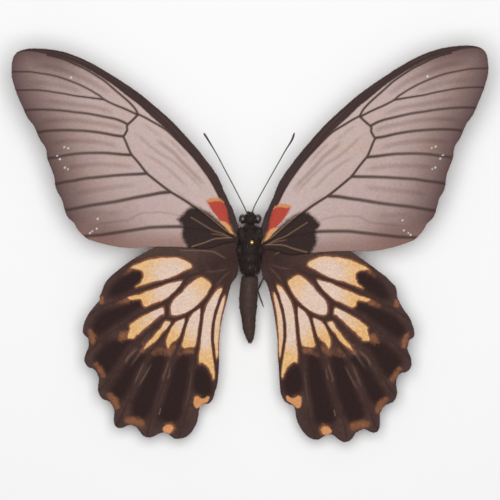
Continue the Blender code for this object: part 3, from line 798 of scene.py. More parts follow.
HINDWING_VEINS = (
    Vein(
        "12.2,-8 13.6,-8.8 15,-9.3 17.2,-9.9 19.8,-10.5 22.6,-11.3 24,-11.8 26.25,-12.3 27.7,-12.8 29.1,-13.45 "
        "31.2,-14.3 33.6,-15.3 35.8,-16.3 38,-17.3 39.8,-18.1 44.5,-20.8",
        0.3, 0.16, 1.0, 0.4,
    ),
    Vein(
        "16.1,-9.6 17.9,-11.2 18.6,-12.4 19.8,-14 20.8,-15 21.9,-16.1 22.9,-16.8 24,-17.4 26.25,-18.7 27.7,-19.2 "
        "30.1,-20.4 32.5,-21.8 34.7,-23.2 36.8,-24.6 38.8,-25.9 44.6,-31",
        0.3, 0.16, 1.0, 0.4,
    ),
    Vein("22.7,-17 22.66,-18 22.6,-19 22.66,-20.8 22.6,-21.25", 0.3, 0.3, 1.0, 0.3),
    Vein(
        "22.7,-20.8 23.2,-21.3 24,-22 24.9,-22.8 25.8,-23.6 27,-24.5 28,-25.2 29.1,-26.4 30.1,-27.3 31.2,-28.1 "
        "32.2,-29.1 33.6,-31.1 34.9,-33.1 36.3,-35 37.8,-37.1 38.7,-38.4 41,-41",
        0.28, 0.15, 1.0, 0.4,
    ),
    Vein(
        "5.5,-6.6 7.4,-8.7 8.5,-9.9 9.6,-11.3 10,-12.8 10.6,-14.2 11.3,-15.4 12.15,-16.7 13.3,-17.6 14.1,-18.3 "
        "15.3,-19.1 16.4,-19.9 17.5,-20.6 18.6,-21.1 19.8,-21.5 20.6,-21.75 21.9,-21.4 22.6,-21.25",
        0.34, 0.28, 1.0, 0.35,
    ),
    Vein(
        "20.6,-21.8 21.6,-23.3 22.9,-25.4 24.3,-26.9 25.55,-28.5 27.1,-30.5 28.2,-32.8 29.4,-35 30.5,-37.3 "
        "31.6,-39.7 32.6,-42.2 33.6,-44.8 35,-48 36.3,-50.5",
        0.28, 0.15, 1.0, 0.4,
    ),
    Vein(
        "17.2,-20.6 17.2,-21.75 17.9,-24 18.6,-26.5 19.6,-28.9 20.5,-31.3 21.8,-34.5 23,-38.5 24,-41 24.8,-43.5 "
        "26,-47 27,-49 28,-53.2",
        0.28, 0.15, 1.0, 0.4,
    ),
    Vein(
        "12.6,-17 13,-18.2 13.07,-19.6 13.3,-22.45 13.6,-25.4 14.06,-28.2 14.55,-30.8 15,-33 15.4,-36 16,-39.1 "
        "16.5,-42 17,-45.5 17.5,-48 18.3,-50.5 19.3,-53.6",
        0.28, 0.15, 1.0, 0.4,
    ),
    Vein(
        "5.2,-9 6.4,-11.6 7.36,-14.4 8.06,-16.1 8.77,-18.2 9.4,-20 9.75,-21.75 10.04,-23.2 10.1,-25 10.1,-27.8 "
        "9.9,-29.2 9.7,-30.6 9.54,-31.9 9.4,-33.2 9.2,-34.6 9,-38 9.2,-40 9.9,-42.3",
        0.3, 0.16, 1.0, 0.35,
    ),
    Vein("4,-4 6,-5.4 8.5,-3.9 10,-3.2 13,-2.9 16,-2.85 20,-2.75 24,-2.6", 0.18, 0.1, 0.2, 0.3),
)
HINDWING_PALE_LINES = (
    Stroke("6,-5.4 8.5,-3.9 10,-3.2 13,-2.9 16,-2.85 20,-2.75", 0.04, 0.22, 0.8, fade=0.12),
    Stroke("27,-27.6 28.5,-29.2 30,-31 31.2,-32.6 33.5,-35.6", 0.1, 0.5, 0.35, fade=0.3),
    Stroke("30,-29 33,-31.8 34,-33.9", 0.1, 0.4, 0.5, fade=0.3),
    Stroke("28.5,-32.8 30.2,-36.4 31.8,-40", 0.05, 0.3, 0.5, fade=0.3),
    Stroke("26.5,-33.3 28.6,-37 30.8,-40.6", 0.05, 0.3, 0.5, fade=0.3),
    Stroke("22,-32.5 22.7,-35 23.6,-37.4 23.7,-38.7", 0.05, 0.3, 0.5, fade=0.3),
    Stroke("21.7,-33.7 22,-36.7 22.6,-38.2", 0.05, 0.3, 0.45, fade=0.3),
    Stroke("24.3,-46 24.7,-47.5", 0.05, 0.15, 0.9),
    Stroke("15.6,-35 16.2,-39 16.8,-43 17.3,-46", 0.05, 0.25, 0.3, fade=0.3),
    Stroke("5,-7.5 7.5,-8.2 10,-8.6 12.5,-8.4", 0.04, 0.2, 0.35, fade=0.3),
    Stroke("5,-8.3 6.5,-9.5 8,-11 9.2,-12.6", 0.04, 0.2, 0.4, fade=0.3),
)
HINDWING_PATCHES = (
    Patch(
        "24,-4.8 22.6,-4.9 21.2,-4.75 19.8,-4.8 18.6,-5.2 17.5,-5.7 16.8,-6.1 16.1,-6.5 15.8,-7.1 16,-7.6 "
        "16.95,-8 17.9,-8.35 18.9,-8.9 20,-9.5 21.2,-10 22.6,-10.5 24,-10.9 25.1,-11.05 26.25,-11.3 27.7,-11.8 "
        "28.9,-12.1 30,-12.5 31.05,-12.8 30.5,-12.3 29.8,-11.9 29.4,-11.2 29,-10.35 28.9,-9.5 29.2,-8.65 "
        "29.9,-8.1 30.8,-7.9 31.75,-7.75 32.5,-7.7 31.9,-7.2 31.2,-6.8 29.8,-6.3 28.4,-5.7 27,-5.3 25.5,-5.1"
    ),
    Patch(
        "18.4,-11.2 19.8,-11.4 21.2,-11.7 22.6,-12 24,-12.65 25.4,-13.2 26.7,-13.6 28,-14 29.1,-14.5 30.1,-14.9 "
        "31.2,-15.1 32.3,-15.3 33.3,-15.7 32.2,-16.3 30.8,-16.1 29.8,-16.1 29.3,-16.7 29.2,-17.5 28.5,-18.1 "
        "27.7,-17.9 26.25,-17.3 25.1,-16.8 24,-16.5 22.6,-15.7 21.6,-14.8 20.6,-14 19.8,-13.1 18.9,-12.15"
    ),
    Patch(
        "15,-11 13.8,-10.3 12.7,-10.3 11.7,-11 10.9,-11.7 10.5,-12.4 11.3,-13.7 12,-15.1 13,-16.2 14.1,-17.4 "
        "15.3,-18.4 16.4,-19.2 17.65,-19.8 19.1,-20.3 20.5,-20.5 21.3,-20.2 21.5,-18.9 21.3,-17.5 20.5,-16.2 "
        "19.35,-15.1 18.4,-14.3 17.4,-13 16.1,-11.9"
    ),
    Patch(
        "23.6,-18.5 25.1,-18.9 26.25,-19.4 27.7,-20.1 29.1,-20.8 30.1,-21.35 31.05,-22.05 31.9,-22.6 32.7,-23.3 "
        "32.6,-24.3 33,-25.2 33.2,-26 33.3,-26.7 32.6,-26.85 31.5,-26.7 31.05,-26 30.3,-25.6 29.4,-24.6 "
        "28.2,-23.75 27.2,-22.9 26.25,-22.05 25.1,-21.07 24,-20.2 23.5,-20.2"
    ),
    Patch(
        "23.15,-22.3 22.2,-22.3 21.6,-22.6 21.9,-23.2 22.6,-24 23.15,-24.6 24,-25.3 24.6,-26.3 25,-26.85 "
        "25.7,-27.55 26.7,-28.3 27.8,-29.1 28.8,-29.7 28.5,-29 27.95,-28.1 27.1,-27.3 26.25,-26.4 25.7,-25.6 "
        "24.85,-24.7 24,-23.75"
    ),
    Patch(
        "17.8,-21.5 18.6,-21.7 19.8,-22.2 20.5,-22.9 21.2,-23.7 21.9,-25.3 22.45,-26.5 22.7,-27.5 22.6,-28.8 "
        "22.2,-29.6 21.7,-28.5 21,-27.8 20.05,-27.2 19.35,-26.4 18.8,-25.3 18.4,-24 17.9,-22.7"
    ),
    Patch(
        "13.6,-18.8 14.3,-19.2 15.3,-19.9 16,-20.8 16.5,-21.7 16.95,-22.9 17.3,-24 17.65,-25.3 17.9,-26.5 "
        "18.2,-27.7 18.5,-28.65 17.9,-29.4 16.95,-29.3 15.8,-29.2 15,-28.9 14.6,-27.5 14.3,-25.8 14.1,-24 "
        "13.8,-22.45 13.56,-21 13.5,-19.6"
    ),
    Patch(
        "7.64,-13.1 8.8,-13.6 9.9,-15 10.7,-16.2 11.6,-17.7 12,-18.9 12.4,-20.3 12.6,-21.7 12.8,-23.2 13.07,-25.4 "
        "13.28,-27.1 13.4,-28.65 13.6,-30.06 13.8,-31.3 13.8,-32.3 13.7,-33.6 13,-33.45 12.15,-34 11.45,-34.6 "
        "10.9,-35.4 10.5,-36.4 10.1,-37.3 9.9,-38 9.6,-37.5 9.6,-36.1 9.75,-34.7 9.9,-33.3 10.1,-31.9 "
        "10.3,-30.35 10.5,-28.65 10.67,-26.8 10.6,-25.1 10.5,-24 10.3,-22.6 10,-21.2 9.75,-19.8 9.3,-18.4 "
        "8.77,-17 8.35,-15.5 7.64,-14"
    ),
    Patch(
        "6.8,-15.1 7.64,-16.5 8.2,-17.9 8.6,-19.35 9.05,-20.8 9.3,-22.2 9.5,-23.7 9.7,-26.8 9.54,-28.7 9.4,-30.3 "
        "9.3,-31.9 9,-32.5 8.7,-31 8.6,-28.9 8.55,-26.8 8.3,-24.8 8.06,-22.3 7.85,-21.2 7.6,-19.8 7.2,-18.2 "
        "6.86,-16.7"
    ),
)
HINDWING_CREAM = (
    Glow(20.5, -8.2, 4.5), Glow(25, -8.8, 3.0, 0.45), Glow(17, -16.3, 4.2, 1.1), Glow(20, -19, 3, 0.8),
    Glow(21.5, -13, 3.2), Glow(25, -14.8, 2.4, 0.5), Glow(25, -20, 2.6), Glow(28.5, -22.3, 2.0, 0.4),
    Glow(15.2, -21.5, 2.8), Glow(15.9, -25.5, 2.0, 0.45), Glow(19.2, -23.6, 1.8, 0.6), Glow(9.2, -16.5, 3.0),
    Glow(11, -21, 3.0), Glow(11.7, -25, 2.8), Glow(12, -28.3, 2.4, 0.8), Glow(23.5, -23.3, 1.4, 0.5),
)
HINDWING_ORANGE = (
    Patch(
        "15,-42.8 14.2,-42.6 13.6,-43.1 12.9,-43.3 12,-43.1 11.4,-42.6 11,-43.1 11.4,-44 12,-44.4 12.8,-44.9 "
        "13.4,-45.5 14.2,-45.9 14.9,-45.7 15.3,-44.8 15.3,-43.8"
    ),
    Patch("20.9,-51.2 21.9,-50.4 23.1,-50.7 23.8,-51.6 23.3,-52.4 22.3,-52.9 21.3,-52.3"),
)
HINDWING_RUST = (
    Glow(21.9, -51.4, 1.7, 1.2), Glow(29.6, -50.1, 1.5, 0.75), Glow(31.8, -49.4, 1.5, 0.75), Glow(33.5, -49.2, 1.2, 0.6),
    Glow(36.2, -45.6, 1.0, 0.8), Glow(36.9, -43.8, 1.3, 0.9), Glow(38.3, -42.2, 1.1, 0.7), Glow(39.9, -37.0, 1.0, 0.7),
    Glow(40.8, -35.5, 1.1, 0.8), Glow(41.8, -33.9, 1.0, 0.7), Glow(42.8, -27.8, 0.9, 0.8),
    Glow(43.0, -26.2, 1.1, 0.95), Glow(43.6, -24.7, 0.8, 0.7), Glow(40.5, -16.8, 0.9, 1.0), Glow(40.3, -15.7, 0.6, 0.8),
    Glow(14.2, -43.5, 1.6, 0.8), Glow(34.2, -25.8, 1.4, 0.75), Glow(35.2, -27.0, 1.4, 0.5), Glow(33.5, -16.3, 1.2, 0.8),
    Glow(35.5, -17.0, 1.3, 0.5), Glow(32.7, -8.2, 0.9, 0.8), Glow(34.2, -9.2, 1.0, 0.5), Glow(20.8, -29.3, 1.5, 0.6),
    Glow(22.2, -30.8, 1.3, 0.5), Glow(17.2, -30.4, 1.3, 0.7), Glow(15.6, -30.4, 0.9, 0.6), Glow(19.2, -31.5, 1.0, 0.4),
    Glow(29.3, -30.2, 0.9, 0.7), Glow(29.0, -28.2, 0.9, 0.5), Glow(24.5, -30.2, 1.6, 0.5), Glow(26.5, -31.0, 1.4, 0.4),
)
VELVET = (
    Patch("29.2,-8.4 31,-8.2 33,-8.8 36,-10.6 38,-13 38.6,-15.3 36.5,-15.7 33.5,-14.5 31,-13.2 29.6,-11.6 28.9,-10"),
    Patch("29.5,-16.6 31.5,-16.6 34.5,-17.5 38,-18.6 41,-20.3 43.2,-23.2 42,-25.7 39.5,-25.3 36,-22.9 32.5,-20.4 "
          "30,-18.9 28.9,-17.8"),
    Patch("31.4,-27.2 34.5,-26.8 37.5,-27 40.5,-29.3 42.6,-32.1 40.8,-34.8 39.2,-36.8 37.2,-35.4 35,-32 33,-29.2"),
    Patch("27.4,-32.0 29.2,-30.8 31.6,-31.3 33.4,-33.2 35.4,-36.4 37.5,-39.6 38.2,-41.8 35.5,-44 33.4,-42.4 "
          "31.4,-37.8 29.5,-34.2"),
    Patch("22.6,-31.5 24.8,-30.2 26.8,-31.8 28.6,-36.2 30.6,-40.8 32.5,-45.6 32,-48.2 29,-49.2 27.2,-47.6 "
          "25.3,-42.8 23.6,-37"),
    Patch("16.3,-31.6 18.5,-31.0 20.2,-32.6 21.8,-37 23.4,-42.6 25.2,-47.6 24,-49.8 20.5,-50 18.9,-48.8 "
          "17.6,-43.4 16.4,-37"),
    Patch("15,-35 13.8,-34.1 12.4,-34.6 11.1,-36 10.2,-38 10,-40 10.4,-41.8 11.6,-42.8 13,-42.9 14.3,-42.4 "
          "15.5,-41 15.9,-38.6 15.5,-36.2"),
)


def within(at: np.ndarray, line: np.ndarray, reach: float) -> np.ndarray:
    """Tells which points lie in a line's box, widened by reach."""
    low, high = line.min(0) - reach, line.max(0) + reach
    return ((at >= low) & (at <= high)).all(1)


def strongest(at: np.ndarray, marks: tuple) -> np.ndarray:
    """Gives the highest value that any of several painted marks has at each point."""
    value = np.zeros(len(at))
    for mark in marks:
        near = within(at, mark.line(), 3.0)
        if near.any():
            value[near] = np.maximum(value[near], mark.mask(at[near]))
    return value


def deepest(at: np.ndarray, patches: tuple[Patch, ...]) -> np.ndarray:
    """Gives the greatest depth that any of several patches has at each point."""
    value = np.full(len(at), -9.0)
    for patch in patches:
        near = within(at, drawn(patch.text, patch.paper), 6.0)
        if near.any():
            value[near] = np.maximum(value[near], patch.depth(at[near]))
    return value


def glowing(at: np.ndarray, glows: tuple[Glow, ...]) -> np.ndarray:
    """Adds up soft tints, to 1 at most."""
    return np.minimum(sum(glow.mask(at) for glow in glows), 1.0)


@dataclass
class Wing:
    """One wing: a thin scaled sheet with raised veins and a fringe of scales.

    Attributes:
        side: Which side it is on.
        outline: Its standing outline, in millimetres.
        setting: How the wing's drawn pattern stands on it.
        root_height: The height of its plane at the root, in millimetres.
        step: The distance between the sheet's points, in millimetres.
        thickness: The sheet's thickness, in millimetres.
        ridge: How high a vein stands, in millimetres.
        valley: How deep a fold lies, in millimetres.
    """

    side: Side
    outline: np.ndarray
    setting: Setting
    root_height: float
    step: float = 0.25
    thickness: float = 0.14
    ridge: float = 0.08
    valley: float = 0.1

    def rise(self, at: np.ndarray) -> np.ndarray:
        """Gives the wing plane's height at standing points."""
        forwards = np.maximum(at[:, 1] - FOLD_LINE, 0.0) * RISE_FORWARDS
        backwards = np.minimum(at[:, 1] - FOLD_LINE, 0.0) * DROP_BACKWARDS
        return self.root_height + RISE_OUTWARDS * (at[:, 0] - NEAREST_ROOT) + forwards + backwards

    def veins(self) -> tuple[Vein, ...]:
        """Gives the wing's veins."""
        raise NotImplementedError

    def masks(self, at: np.ndarray, standing: np.ndarray) -> dict[str, np.ndarray]:
        """Gives the painted masks at drawn points, and at the same points as they stand."""
        raise NotImplementedError

    def top(self, standing: np.ndarray, masks: dict[str, np.ndarray]) -> np.ndarray:
        """Gives the height of the upper face, with its veins, folds and slow waves."""
        waves = 0.1 * np.sin(standing[:, 0] / 6.5 + 0.8) * np.sin(standing[:, 1] / 8.0)
        waves += 0.06 * np.sin(standing[:, 0] / 3.1 + standing[:, 1] / 4.2)
        return self.rise(standing) + waves + self.ridge * masks["vein"] - self.valley * masks["fold"]

    def world(self, standing: np.ndarray, height: np.ndarray) -> np.ndarray:
        """Turns standing points into metres in the object's own frame."""
        return np.stack([standing[:, 0] * self.side.value, standing[:, 1] + WAIST_Y, height], axis=1) * MM

    def standing_of(self, item: bpy.types.Object) -> np.ndarray:
        """Reads a mesh's points as standing points."""
        spots = Bench.points_of(item) / MM
        return np.stack([spots[:, 0] * self.side.value, spots[:, 1] - WAIST_Y], axis=1)

    def paint_all(self, item: bpy.types.Object, masks: dict[str, np.ndarray]) -> None:
        """Stores every mask on a mesh."""
        for name, values in masks.items():
            Bench.paint(item, name, values)

    def sheet(self) -> bpy.types.Object:
        """Cuts the sheet out of a grid, shapes it and gives it its thickness."""
        low, high = self.outline.min(0) - 0.3, self.outline.max(0) + 0.3
        across, deep = high - low
        middle = (low + high) / 2
        Bench.clear_hands()
        bpy.ops.mesh.primitive_grid_add(
            x_subdivisions=int(across / self.step),
            y_subdivisions=int(deep / self.step),
            size=1.0,
            location=(middle[0] * self.side.value * MM, (middle[1] + WAIST_Y) * MM, 0),
            scale=(1, 1, 1),
        )
        item = Bench.added("wing_sheet")
        item.scale = (across * MM, deep * MM, 1)
        Bench.settle(item)
        mesh = item.data
        standing = self.standing_of(item)
        corners = np.empty(len(mesh.polygons) * 4, np.int32)
        mesh.polygons.foreach_get("vertices", corners)
        corners = corners.reshape(-1, 4)
        outside = ~inside(standing[corners].mean(1), self.outline)
        bpy.ops.object.mode_set(mode="EDIT")
        bpy.ops.mesh.select_all(action="DESELECT")
        bpy.ops.object.mode_set(mode="OBJECT")
        mesh.polygons.foreach_set("select", outside)
        bpy.ops.object.mode_set(mode="EDIT")
        bpy.ops.mesh.select_mode(type="FACE")
        bpy.ops.mesh.delete(type="FACE")
        bpy.ops.mesh.select_mode(type="VERT")
        bpy.ops.object.mode_set(mode="OBJECT")
        standing = self.on_the_outline(item, self.standing_of(item))
        masks = self.masks(self.setting.back(standing), standing)
        Bench.move_points(item, self.world(standing, self.top(standing, masks)))
        self.paint_all(item, masks)
        wall = item.modifiers.new("thickness", "SOLIDIFY")
        wall.thickness = self.thickness * MM
        wall.offset = -1
        Bench.apply_all(item)
        Bench.smooth(item)
        return item

    def on_the_outline(self, item: bpy.types.Object, standing: np.ndarray) -> np.ndarray:
        """Moves the cut edge's points onto the outline."""
        edges = np.empty(len(item.data.edges) * 2, np.int32)
        item.data.edges.foreach_get("vertices", edges)
        corners = np.empty(len(item.data.loops), np.int32)
        item.data.loops.foreach_get("edge_index", corners)
        rim = np.unique(edges.reshape(-1, 2)[np.bincount(corners, minlength=len(item.data.edges)) == 1])
        ring = np.concatenate([self.outline, self.outline[:1]])
        spots = standing[rim]
        best = np.full(len(rim), np.inf)
        nearest = spots.copy()
        for start, end in zip(ring[:-1], ring[1:]):
            run = end - start
            part = np.clip((spots - start) @ run / max(run @ run, 1e-12), 0.0, 1.0)
            foot = start + part[:, None] * run
            far = ((spots - foot) ** 2).sum(1)
            nearer = far < best
            best[nearer] = far[nearer]
            nearest[nearer] = foot[nearer]
        moved = standing.copy()
        moved[rim] = nearest
        return moved

    def raised_veins(self) -> list[bpy.types.Object]:
        """Draws every vein as a tapering tube that is sunk into the sheet."""
        tubes = []
        for vein in self.veins():
            line = self.setting.place(vein.line())
            line = line[line[:, 0] > NEAREST_ROOT + 0.3]
            kept = depth_inside(line, self.outline) > 0.15
            line = line[kept]
            if len(line) < 3:
                continue
            masks = self.masks(self.setting.back(line), line)
            radii = np.linspace(vein.root_radius, vein.tip_radius, len(line)) * 0.6
            height = self.top(line, masks) - radii * 0.35
            tube = Bench.tube("vein", self.world(line, height), radii * MM, 8)
            standing = self.standing_of(tube)
            self.paint_all(tube, self.masks(self.setting.back(standing), standing))
            tubes.append(tube)
        return tubes

    def fringe(self, coat: "Hair") -> bpy.types.Object:
        """Sets the short scales that stand out along the whole edge."""
        ring = np.concatenate([self.outline, self.outline[:1]])
        runs = np.linalg.norm(np.diff(ring, axis=0), axis=1)
        marks = np.concatenate([[0.0], np.cumsum(runs)])
        count = int(marks[-1] / 0.14)
        at = coat.draw.uniform(0.0, marks[-1], count)
        spots = np.stack([np.interp(at, marks, ring[:, axis]) for axis in (0, 1)], axis=1)
        ahead = np.stack([np.interp((at + 0.2) % marks[-1], marks, ring[:, axis]) for axis in (0, 1)], axis=1)
        along = ahead - spots
        out = np.stack([along[:, 1], -along[:, 0]], axis=1)
        out /= np.linalg.norm(out, axis=1)[:, None] + 1e-9
        out *= np.where(inside(spots + out * 0.05, self.outline), -1.0, 1.0)[:, None]
        kept = spots[:, 0] > NEAREST_ROOT + 0.8
        spots, out = spots[kept], out[kept]
        roots = spots - out * 0.12
        masks = self.masks(self.setting.back(roots), roots)
        height = self.top(roots, masks) - self.thickness / 2
        lean = coat.draw.normal(0.0, 0.3, (len(roots), 2))
        heading = np.stack(
            [
                (out[:, 0] + lean[:, 0]) * self.side.value,
                out[:, 1] + lean[:, 1],
                coat.draw.normal(0.0, 0.12, len(roots)),
            ],
            axis=1,
        )
        lengths = coat.draw.uniform(0.22, 0.38, len(roots))
        scales = coat.grow(
            "wing_fringe",
            self.world(roots, height),
            heading,
            lengths * MM,
            np.full(len(roots), 0.045 * MM),
            0.0,
        )
        standing = self.standing_of(scales)
        self.paint_all(scales, self.masks(self.setting.back(standing), standing))
        return scales

    def build(self, name: str, coat: "Hair", finish: bpy.types.Material, slot: str) -> bpy.types.Object:
        """Makes the whole wing and puts it in the solid's place."""
        parts = [self.sheet(), *self.raised_veins(), self.fringe(coat)]
        wing = Bench.join(name + "_scaled", parts)
        Bench.dress(wing, finish)
        Bench.hand_over(wing, slot, name)
        return wing


class Forewing(Wing):
    """A forewing: pinkish-grey ground, dark veins, costal band and base, red patch."""

    def veins(self) -> tuple[Vein, ...]:
        """Gives the forewing's veins."""
        return FOREWING_VEINS

    def masks(self, at: np.ndarray, standing: np.ndarray) -> dict[str, np.ndarray]:
        """Gives the forewing's painted masks."""
        margin, _ = line_distance(at, smooth_line(drawn(FOREWING_MARGIN), parts=2))
        flecks = np.zeros(len(at))
        for fleck in FOREWING_FLECKS.split():
            u, v, reach = (float(number) for number in fleck.split(","))
            far = np.hypot(at[:, 0] - u, at[:, 1] - v)
            flecks = np.maximum(flecks, 1.0 - ease(far, reach, reach + 0.22))
        rear, _ = line_distance(at, smooth_line(drawn("3,-0.8 8,-1.6 16,-2.3 25,-2 34,-2.2 42,-0.6 45,0.8")))
        return {
            "vein": strongest(at, FOREWING_VEINS),
            "fold": strongest(at, FOREWING_FOLDS),
            "pale": strongest(at, FOREWING_PALE_LINES),
            "costa": depth_inside(at, smooth_line(drawn(COSTA_INNER_EDGE, SQUARED), closed=True, parts=2)),
            "margin": margin,
            "rear": rear,
            "black": Patch(BLACK_BASE).depth(at),
            "red": Patch(RED_PATCH).depth(at),
            "orange": Patch(ORANGE_EDGE).depth(at),
            "yellow": Patch(YELLOW_ROOT).depth(at),
            "fleck": flecks,
            "edge": depth_inside(standing, self.outline),
            "run": at[:, 0],
        }


class Hindwing(Wing):
    """A hindwing: velvet brown ground with pale patches between the veins and rusty edge marks."""

    def veins(self) -> tuple[Vein, ...]:
        """Gives the hindwing's veins."""
        return HINDWING_VEINS

    def masks(self, at: np.ndarray, standing: np.ndarray) -> dict[str, np.ndarray]:
        """Gives the hindwing's painted masks."""
        margin, _ = line_distance(at, smooth_line(drawn(HINDWING_MARGIN), parts=2))
        return {
            "vein": strongest(at, HINDWING_VEINS),
            "fold": np.zeros(len(at)),
            "pale": strongest(at, HINDWING_PALE_LINES),
            "margin": margin,
            "patch": deepest(at, HINDWING_PATCHES),
            "cream": glowing(at, HINDWING_CREAM),
            "orange": deepest(at, HINDWING_ORANGE),
            "rust": glowing(at, HINDWING_RUST),
            "velvet": deepest(at, VELVET),
            "base": np.clip(1.0 - (np.hypot(at[:, 0] - 4.0, (at[:, 1] + 4.0) * 1.1) - 3.0) / 9.0, 0.0, 1.0),
            "front": np.clip((at[:, 1] + 6.5) / 5.0, 0.0, 1.0),
            "edge": depth_inside(standing, self.outline),
            "run": at[:, 0],
        }


class Hair:
    """Hairs and scales: one is modelled, and every other is a copy of it.

    Attributes:
        draw: The seeded source of every random number.
        rings: The model hair's points, as across, across, along.
        faces: The model hair's triangles.
    """

    def __init__(self, seed: int = 7) -> None:
        """Models the one hair: a thin three-sided cone with rings on which it can bend."""
        self.draw = np.random.default_rng(seed)
        Bench.clear_hands()
        bpy.ops.mesh.primitive_cone_add(vertices=3, radius1=1.0, radius2=0.0, depth=1.0, location=(0, 0, 0.5))
        hair = Bench.added("one_hair")
        Bench.settle(hair)
        bpy.ops.object.mode_set(mode="EDIT")
        for height in (0.35, 0.7):
            bpy.ops.mesh.select_all(action="SELECT")
            bpy.ops.mesh.bisect(plane_co=(0, 0, height), plane_no=(0, 0, 1))
        bpy.ops.mesh.select_all(action="SELECT")
        bpy.ops.mesh.quads_convert_to_tris()
        bpy.ops.object.mode_set(mode="OBJECT")
        self.rings = Bench.points_of(hair)
        swell = np.where(self.rings[:, 2] < 0.95, 1.0, 0.0) * (1.0 - 0.45 * self.rings[:, 2])
        radial = np.hypot(self.rings[:, 0], self.rings[:, 1])
        self.rings[:, :2] *= (swell / np.maximum(radial, 1e-6))[:, None]
        self.faces = np.array([polygon.vertices[:] for polygon in hair.data.polygons])
        bpy.data.objects.remove(hair)

    def grow(
        self,
        name: str,
        roots: np.ndarray,
        heading: np.ndarray,
        lengths: np.ndarray,
        radii: np.ndarray,
        bend: float,
        towards: tuple[float, float, float] = (0, 0, -1),
    ) -> bpy.types.Object:
        """Copies the hair to every root.

        Args:
            name: The name of the joined hairs.
            roots: Where each hair starts, in metres.
            heading: Which way each hair points.
            lengths: Each hair's length.
            radii: Each hair's radius at its root.
            bend: How far the tip bends over, as a share of the length.
            towards: Which way the tips bend.

        Returns:
            One object with all the hairs, painted with each one's tone and its root-to-tip place.
        """
        count, corners = len(roots), len(self.rings)
        heading = heading / (np.linalg.norm(heading, axis=1)[:, None] + 1e-12)
        other = np.where(np.abs(heading[:, 2:3]) > 0.9, [[1.0, 0.0, 0.0]], [[0.0, 0.0, 1.0]])
        across = np.cross(heading, other)
        across /= np.linalg.norm(across, axis=1)[:, None]
        beside = np.cross(heading, across)
        along = self.rings[:, 2]
        places = (
            roots[:, None, :]
            + heading[:, None, :] * (along[None, :, None] * lengths[:, None, None])
            + across[:, None, :] * (self.rings[None, :, 0, None] * radii[:, None, None])
            + beside[:, None, :] * (self.rings[None, :, 1, None] * radii[:, None, None])
            + np.array(towards)[None, None, :] * (along[None, :, None] ** 2 * lengths[:, None, None] * bend)
        ).reshape(-1, 3)
        triangles = (self.faces[None] + (np.arange(count) * corners)[:, None, None]).reshape(-1, 3)
        item = Bench.from_triangles(name, places, triangles)
        Bench.paint(item, "tone", np.repeat(self.draw.uniform(0.0, 1.0, count), corners))
        Bench.paint(item, "along", np.tile(along, count))
        return item

    def coat(
        self,
        name: str,
        skin: bpy.types.Object,
        count: int,
        length: tuple[float, float],
        radius: float,
        comb: tuple[float, float, float],
        lift: float,
        bend: float,
        mess: float = 0.25,
        where: object = None,
    ) -> bpy.types.Object:
        """Spreads hairs over a skin.

        Args:
            name: The coat's name.
            skin: The mesh that the hairs stand on.
            count: How many hairs.
            length: Shortest and longest hair, in millimetres.
            radius: Hair radius, in millimetres.
            comb: Which way the hairs are combed.
            lift: How far they stand up, against lying along the comb.
            bend: How far the tips bend over.
            mess: How much each hair strays.
            where: A test that tells from a point in millimetres whether hair grows there.

        Returns:
            The joined hairs.
        """
        mesh = skin.data
        mesh.calc_loop_triangles()
        corners = np.empty(len(mesh.loop_triangles) * 3, np.int32)
        mesh.loop_triangles.foreach_get("vertices", corners)
        spots = Bench.points_of(skin)[corners.reshape(-1, 3)]
        facing = np.cross(spots[:, 1] - spots[:, 0], spots[:, 2] - spots[:, 0])
        area = np.linalg.norm(facing, axis=1)
        facing /= area[:, None] + 1e-15
        chosen = self.draw.choice(len(area), count, p=area / area.sum())
        first, second = self.draw.uniform(size=(2, count))
        flip = first + second > 1
        first[flip], second[flip] = 1 - first[flip], 1 - second[flip]
        triangle = spots[chosen]
        roots = (
            triangle[:, 0]
            + (triangle[:, 1] - triangle[:, 0]) * first[:, None]
            + (triangle[:, 2] - triangle[:, 0]) * second[:, None]
        )
        normal = facing[chosen]
        if where is not None:
            kept = where(roots / MM, normal)
            roots, normal = roots[kept], normal[kept]
        flow = np.array(comb)[None] - (normal @ np.array(comb))[:, None] * normal
        heading = flow + normal * lift + self.draw.normal(0.0, mess, roots.shape)
        lengths = self.draw.uniform(*length, len(roots)) * MM
        radii = np.full(len(roots), radius * MM)
        return self.grow(name, roots - normal * 0.02 * MM, heading, lengths, radii, bend)


def new_material(name: str) -> tuple[bpy.types.Material, Graph]:
    """Starts a material with its shader and gives its graph."""
    material = bpy.data.materials.new(name)
    material.use_nodes = True
    return material, Graph(material.node_tree)


@dataclass(frozen=True)
class Surface:
    """How a finish takes light.

    Attributes:
        roughness: How dull it is, from 0 to 1.
        gloss: The shader's specular level.
        relief: The strength of its bump.
        depth: The depth of its bump, in millimetres.
        metallic: Whether it is metal.
        coat: The weight of a clear coat.
    """

    roughness: float
    gloss: float = 0.3
    relief: float = 0.3
    depth: float = 0.03
    metallic: float = 0.0
    coat: float = 0.0

    def close(
        self, graph: Graph, colour: object, height: object = None, roughness: object = None
    ) -> None:
        """Ends a material's graph in its shader."""
        shader = graph.tree.nodes["Principled BSDF"]
        graph.feed(shader.inputs["Base Color"], colour)
        graph.feed(shader.inputs["Roughness"], self.roughness if roughness is None else roughness)
        shader.inputs["Specular IOR Level"].default_value = self.gloss
        shader.inputs["Metallic"].default_value = self.metallic
        shader.inputs["Coat Weight"].default_value = self.coat
        shader.inputs["Coat Roughness"].default_value = 0.08
        if height is not None:
            bump = graph.add("ShaderNodeBump")
            bump.inputs["Strength"].default_value = self.relief
            bump.inputs["Distance"].default_value = self.depth * MM
            graph.feed(bump.inputs["Height"], height)
            graph.feed(shader.inputs["Normal"], bump.outputs[0])


